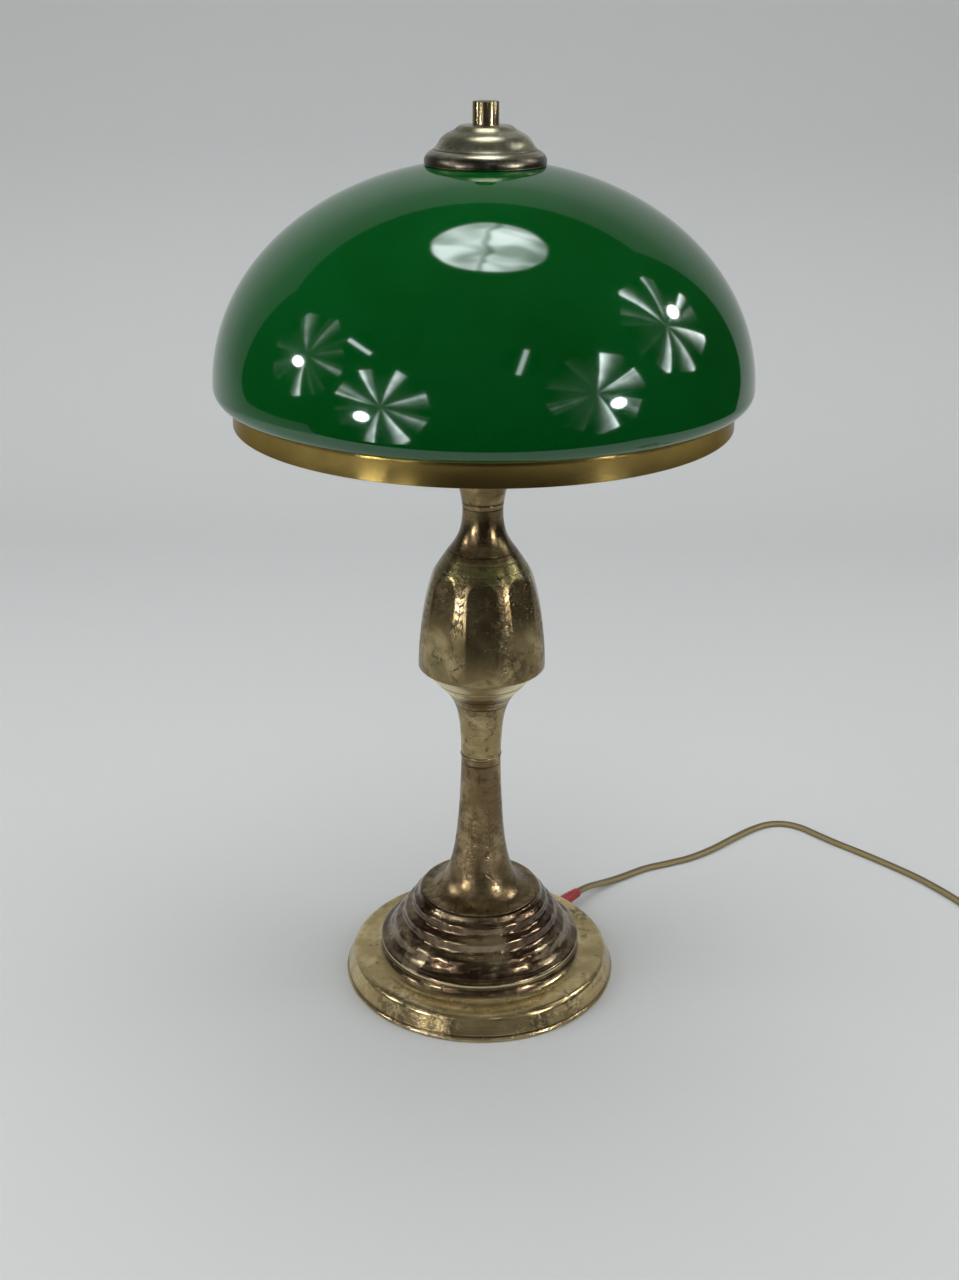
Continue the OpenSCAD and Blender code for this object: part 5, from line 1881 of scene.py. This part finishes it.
@dataclass
class Studio:
    """The camera, the backdrop and the light.

    Attributes:
        eye: The camera's place in metres.
        tilt: The camera's tilt up from straight down, in degrees.
        roll: The camera's roll in degrees.
        lens: The focal length in millimetres, for a 36 mm long side.
        paper: The backdrop's colour.
    """

    eye: tuple[float, float, float] = (-0.0014, -0.8728, 0.5851)
    tilt: float = 67.62
    roll: float = 0.4
    lens: float = 44.72
    paper: Colour = (0.56, 0.575, 0.575)

    def camera(self) -> bpy.types.Object:
        """Place the camera where the picture was taken from.

        Returns:
            The camera.
        """
        data = bpy.data.cameras.new("camera")
        data.lens, data.sensor_width, data.sensor_fit = self.lens, 36, "AUTO"
        data.clip_start, data.clip_end = 0.05, 30
        camera = bpy.data.objects.new("camera", data)
        turned = Matrix.Rotation(math.radians(self.tilt), 4, "X") @ Matrix.Rotation(math.radians(self.roll), 4, "Z")
        camera.matrix_world = Matrix.Translation(self.eye) @ turned
        bpy.context.scene.collection.objects.link(camera)
        bpy.context.scene.camera = camera
        return camera

    def backdrop(self) -> bpy.types.Object:
        """Make the table with the backdrop that rises behind it.

        Returns:
            The backdrop.
        """
        select_nothing()
        profile = [(-0.75, 0.0), (0.85, 0.0), *[(0.85 + 0.4 * math.sin(a), 0.4 - 0.4 * math.cos(a))
                                               for a in (math.radians(7.5 * i) for i in range(1, 13))], (1.25, 2.2)]
        bpy.ops.mesh.primitive_plane_add(size=1)
        sheet = bpy.context.object
        sheet.name = "backdrop"
        bpy.ops.object.mode_set(mode="EDIT")
        bpy.ops.mesh.select_all(action="SELECT")
        bpy.ops.mesh.merge(type="CENTER")
        bpy.ops.transform.translate(value=(-2.6, profile[0][0], profile[0][1]))
        for here, there in pairwise(profile):
            bpy.ops.mesh.extrude_region_move(
                TRANSFORM_OT_translate={"value": (0, there[0] - here[0], there[1] - here[1])})
        bpy.ops.mesh.select_all(action="SELECT")
        bpy.ops.mesh.extrude_region_move(TRANSFORM_OT_translate={"value": (4.1, 0, 0)})
        finish_mesh(sheet, 40)
        graph = Graph("backdrop paper")
        clouds = graph.noise(1.3, 3, 0.5)
        colour = graph.mix(graph.math("MULTIPLY", clouds, 0.12), self.paper, tuple(c * 0.8 for c in self.paper))
        # Painted shade: the paper is darkened towards the top of the backdrop.
        high = graph.step(graph.split()[2], 0.05, 0.8, 0.0, 1.0)
        colour = graph.mix(high, colour, tuple(c * 0.76 for c in self.paper))
        graph.bump(graph.noise(500, 2), 0.03, 0.1 * MM)
        paper = graph.done(Base_Color=colour, Roughness=0.8, Specular_IOR_Level=0.2)
        front = graph.node("ShaderNodeNewGeometry").outputs["Backfacing"]
        open_back = graph.node("ShaderNodeMixShader", {0: front})
        graph.tree.links.new(graph.node("ShaderNodeBsdfTransparent").outputs[0], open_back.inputs[1])
        graph.tree.links.new(graph.shader.outputs[0], open_back.inputs[2])
        graph.tree.links.new(open_back.outputs[0], graph.output.inputs["Surface"])
        clad(sheet, paper)
        return sheet

    def lamp(self, name: str, at: tuple[float, float, float], aim: tuple[float, float, float], size: float,
             power: float, colour: Colour = (1, 1, 1)) -> None:
        """Place a soft lamp.

        Args:
            name: The lamp's name.
            at: Its place in metres.
            aim: What it points at.
            size: The side of its face in metres.
            power: Its power in watts.
            colour: Its colour.
        """
        data = bpy.data.lights.new(name, "AREA")
        data.shape, data.size, data.energy, data.color = "DISK", size, power, colour
        lamp = bpy.data.objects.new(name, data)
        lamp.location = at
        lamp.rotation_mode = "QUATERNION"
        lamp.rotation_quaternion = (Vector(at) - Vector(aim)).to_track_quat("Z", "Y")
        lamp.visible_glossy = lamp.visible_camera = False
        bpy.context.scene.collection.objects.link(lamp)

    def lights(self) -> None:
        """Place the lamps and the lamp heads that show in the glass."""
        middle = (0, 0, 0.25)
        self.lamp("overhead", (0.05, 0.1, 1.7), middle, 1.5, 12.5)
        self.lamp("left", (-1.4, -0.35, 1.0), middle, 1.3, 12)
        self.lamp("right", (1.4, -0.1, 1.15), middle, 1.3, 8)
        self.lamp("front", (-0.2, -1.6, 1.0), middle, 1.2, 3.3)
        Reflector("overhead box", (2, -100, 470), (0.023, 0.182, 0.983), 0.4, 7.0, Face.BOX, far=1.2).build()
        Reflector("left umbrella", (-85, -113, 420), (-0.925, -0.106, 0.366), 0.5, 13, core_at=(0.15, -0.2),
                  spin=12).build()
        Reflector("low left umbrella", (-49, -139, 401), (-0.662, -0.736, 0.141), 0.58, 16, core_at=(0.35, -0.3),
                  spin=38).build()
        Reflector("right umbrella", (88, -101, 433), (0.860, 0.115, 0.496), 0.54, 13, core_at=(-0.4, 0.05),
                  spin=5).build()
        Reflector("low right umbrella", (53, -135, 408), (0.708, -0.655, 0.263), 0.6, 18, core_at=(-0.38, -0.3),
                  spin=24).build()
        Reflector("left tube", (-59, -125, 427), (-0.722, -0.385, 0.575), 0.18, 7, Face.STRIP, spin=11).build()
        Reflector("front tube", (18, -139, 423), (0.248, -0.759, 0.603), 0.2, 5, Face.STRIP, spin=-68).build()

    def world(self) -> None:
        """Light the room: pale for the camera, dim for reflections, plain for the rest."""
        world = bpy.data.worlds.new("room")
        bpy.context.scene.world = world
        world.use_nodes = True
        tree = world.node_tree
        tree.nodes.clear()
        output = tree.nodes.new("ShaderNodeOutputWorld")
        path = tree.nodes.new("ShaderNodeLightPath")
        plain, seen, dim = (tree.nodes.new("ShaderNodeBackground") for _ in range(3))
        plain.inputs["Strength"].default_value = 0.48
        seen.inputs["Color"].default_value = (0.5, 0.51, 0.51, 1)
        where = tree.nodes.new("ShaderNodeTexCoord")
        parts = tree.nodes.new("ShaderNodeSeparateXYZ")
        tree.links.new(where.outputs["Generated"], parts.inputs[0])
        ramp = tree.nodes.new("ShaderNodeMapRange")
        ramp.interpolation_type = "SMOOTHSTEP"
        for index, value in ((1, -0.3), (2, 0.9), (3, 0.012), (4, 0.03)):
            ramp.inputs[index].default_value = value
        tree.links.new(parts.outputs[2], ramp.inputs[0])
        tree.links.new(ramp.outputs[0], dim.inputs["Strength"])
        glossy, camera = tree.nodes.new("ShaderNodeMixShader"), tree.nodes.new("ShaderNodeMixShader")
        tree.links.new(path.outputs["Is Glossy Ray"], glossy.inputs[0])
        tree.links.new(plain.outputs[0], glossy.inputs[1])
        tree.links.new(dim.outputs[0], glossy.inputs[2])
        tree.links.new(path.outputs["Is Camera Ray"], camera.inputs[0])
        tree.links.new(glossy.outputs[0], camera.inputs[1])
        tree.links.new(seen.outputs[0], camera.inputs[2])
        tree.links.new(camera.outputs[0], output.inputs["Surface"])


@dataclass
class DeskLamp:
    """The whole lamp.

    Attributes:
        glass: The domed shade.
        ring: The ring under it.
        column: The turned column.
        foot: The dished foot with its dome.
        sleeve: The sleeve round the cord.
        fittings: The plain solids that stay as they are.
    """

    glass: Glass = field(default_factory=Glass)
    ring: Ring = field(default_factory=Ring)
    column: Column = field(default_factory=Column)
    foot: Foot = field(default_factory=Foot)
    sleeve: Sleeve = field(default_factory=Sleeve)
    fittings: Fittings = field(default_factory=Fittings)

    def build(self, nodes: dict[str, bpy.types.Object]) -> None:
        """Make every piece, from the foot up.

        Args:
            nodes: The plain solids by name.
        """
        self.foot.build_dish()
        self.foot.build_dome()
        self.sleeve.build()
        self.column.build()
        self.ring.build()
        self.glass.build()
        crown = Crown(self.glass)
        crown.build()
        Finial(crown.top).build()
        self.fittings.dress(nodes)


def main() -> None:
    """Build the scene in order."""
    logging.basicConfig(level=logging.INFO, format="%(name)s: %(message)s")
    bpy.context.scene.view_settings.view_transform = "Standard"
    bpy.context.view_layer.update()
    studio = Studio()
    studio.camera()
    CordSet(Coil()).build()
    DeskLamp().build(frame["nodes"])
    studio.backdrop()
    studio.lights()
    studio.world()
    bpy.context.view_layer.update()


if __name__ == "__main__":
    main()
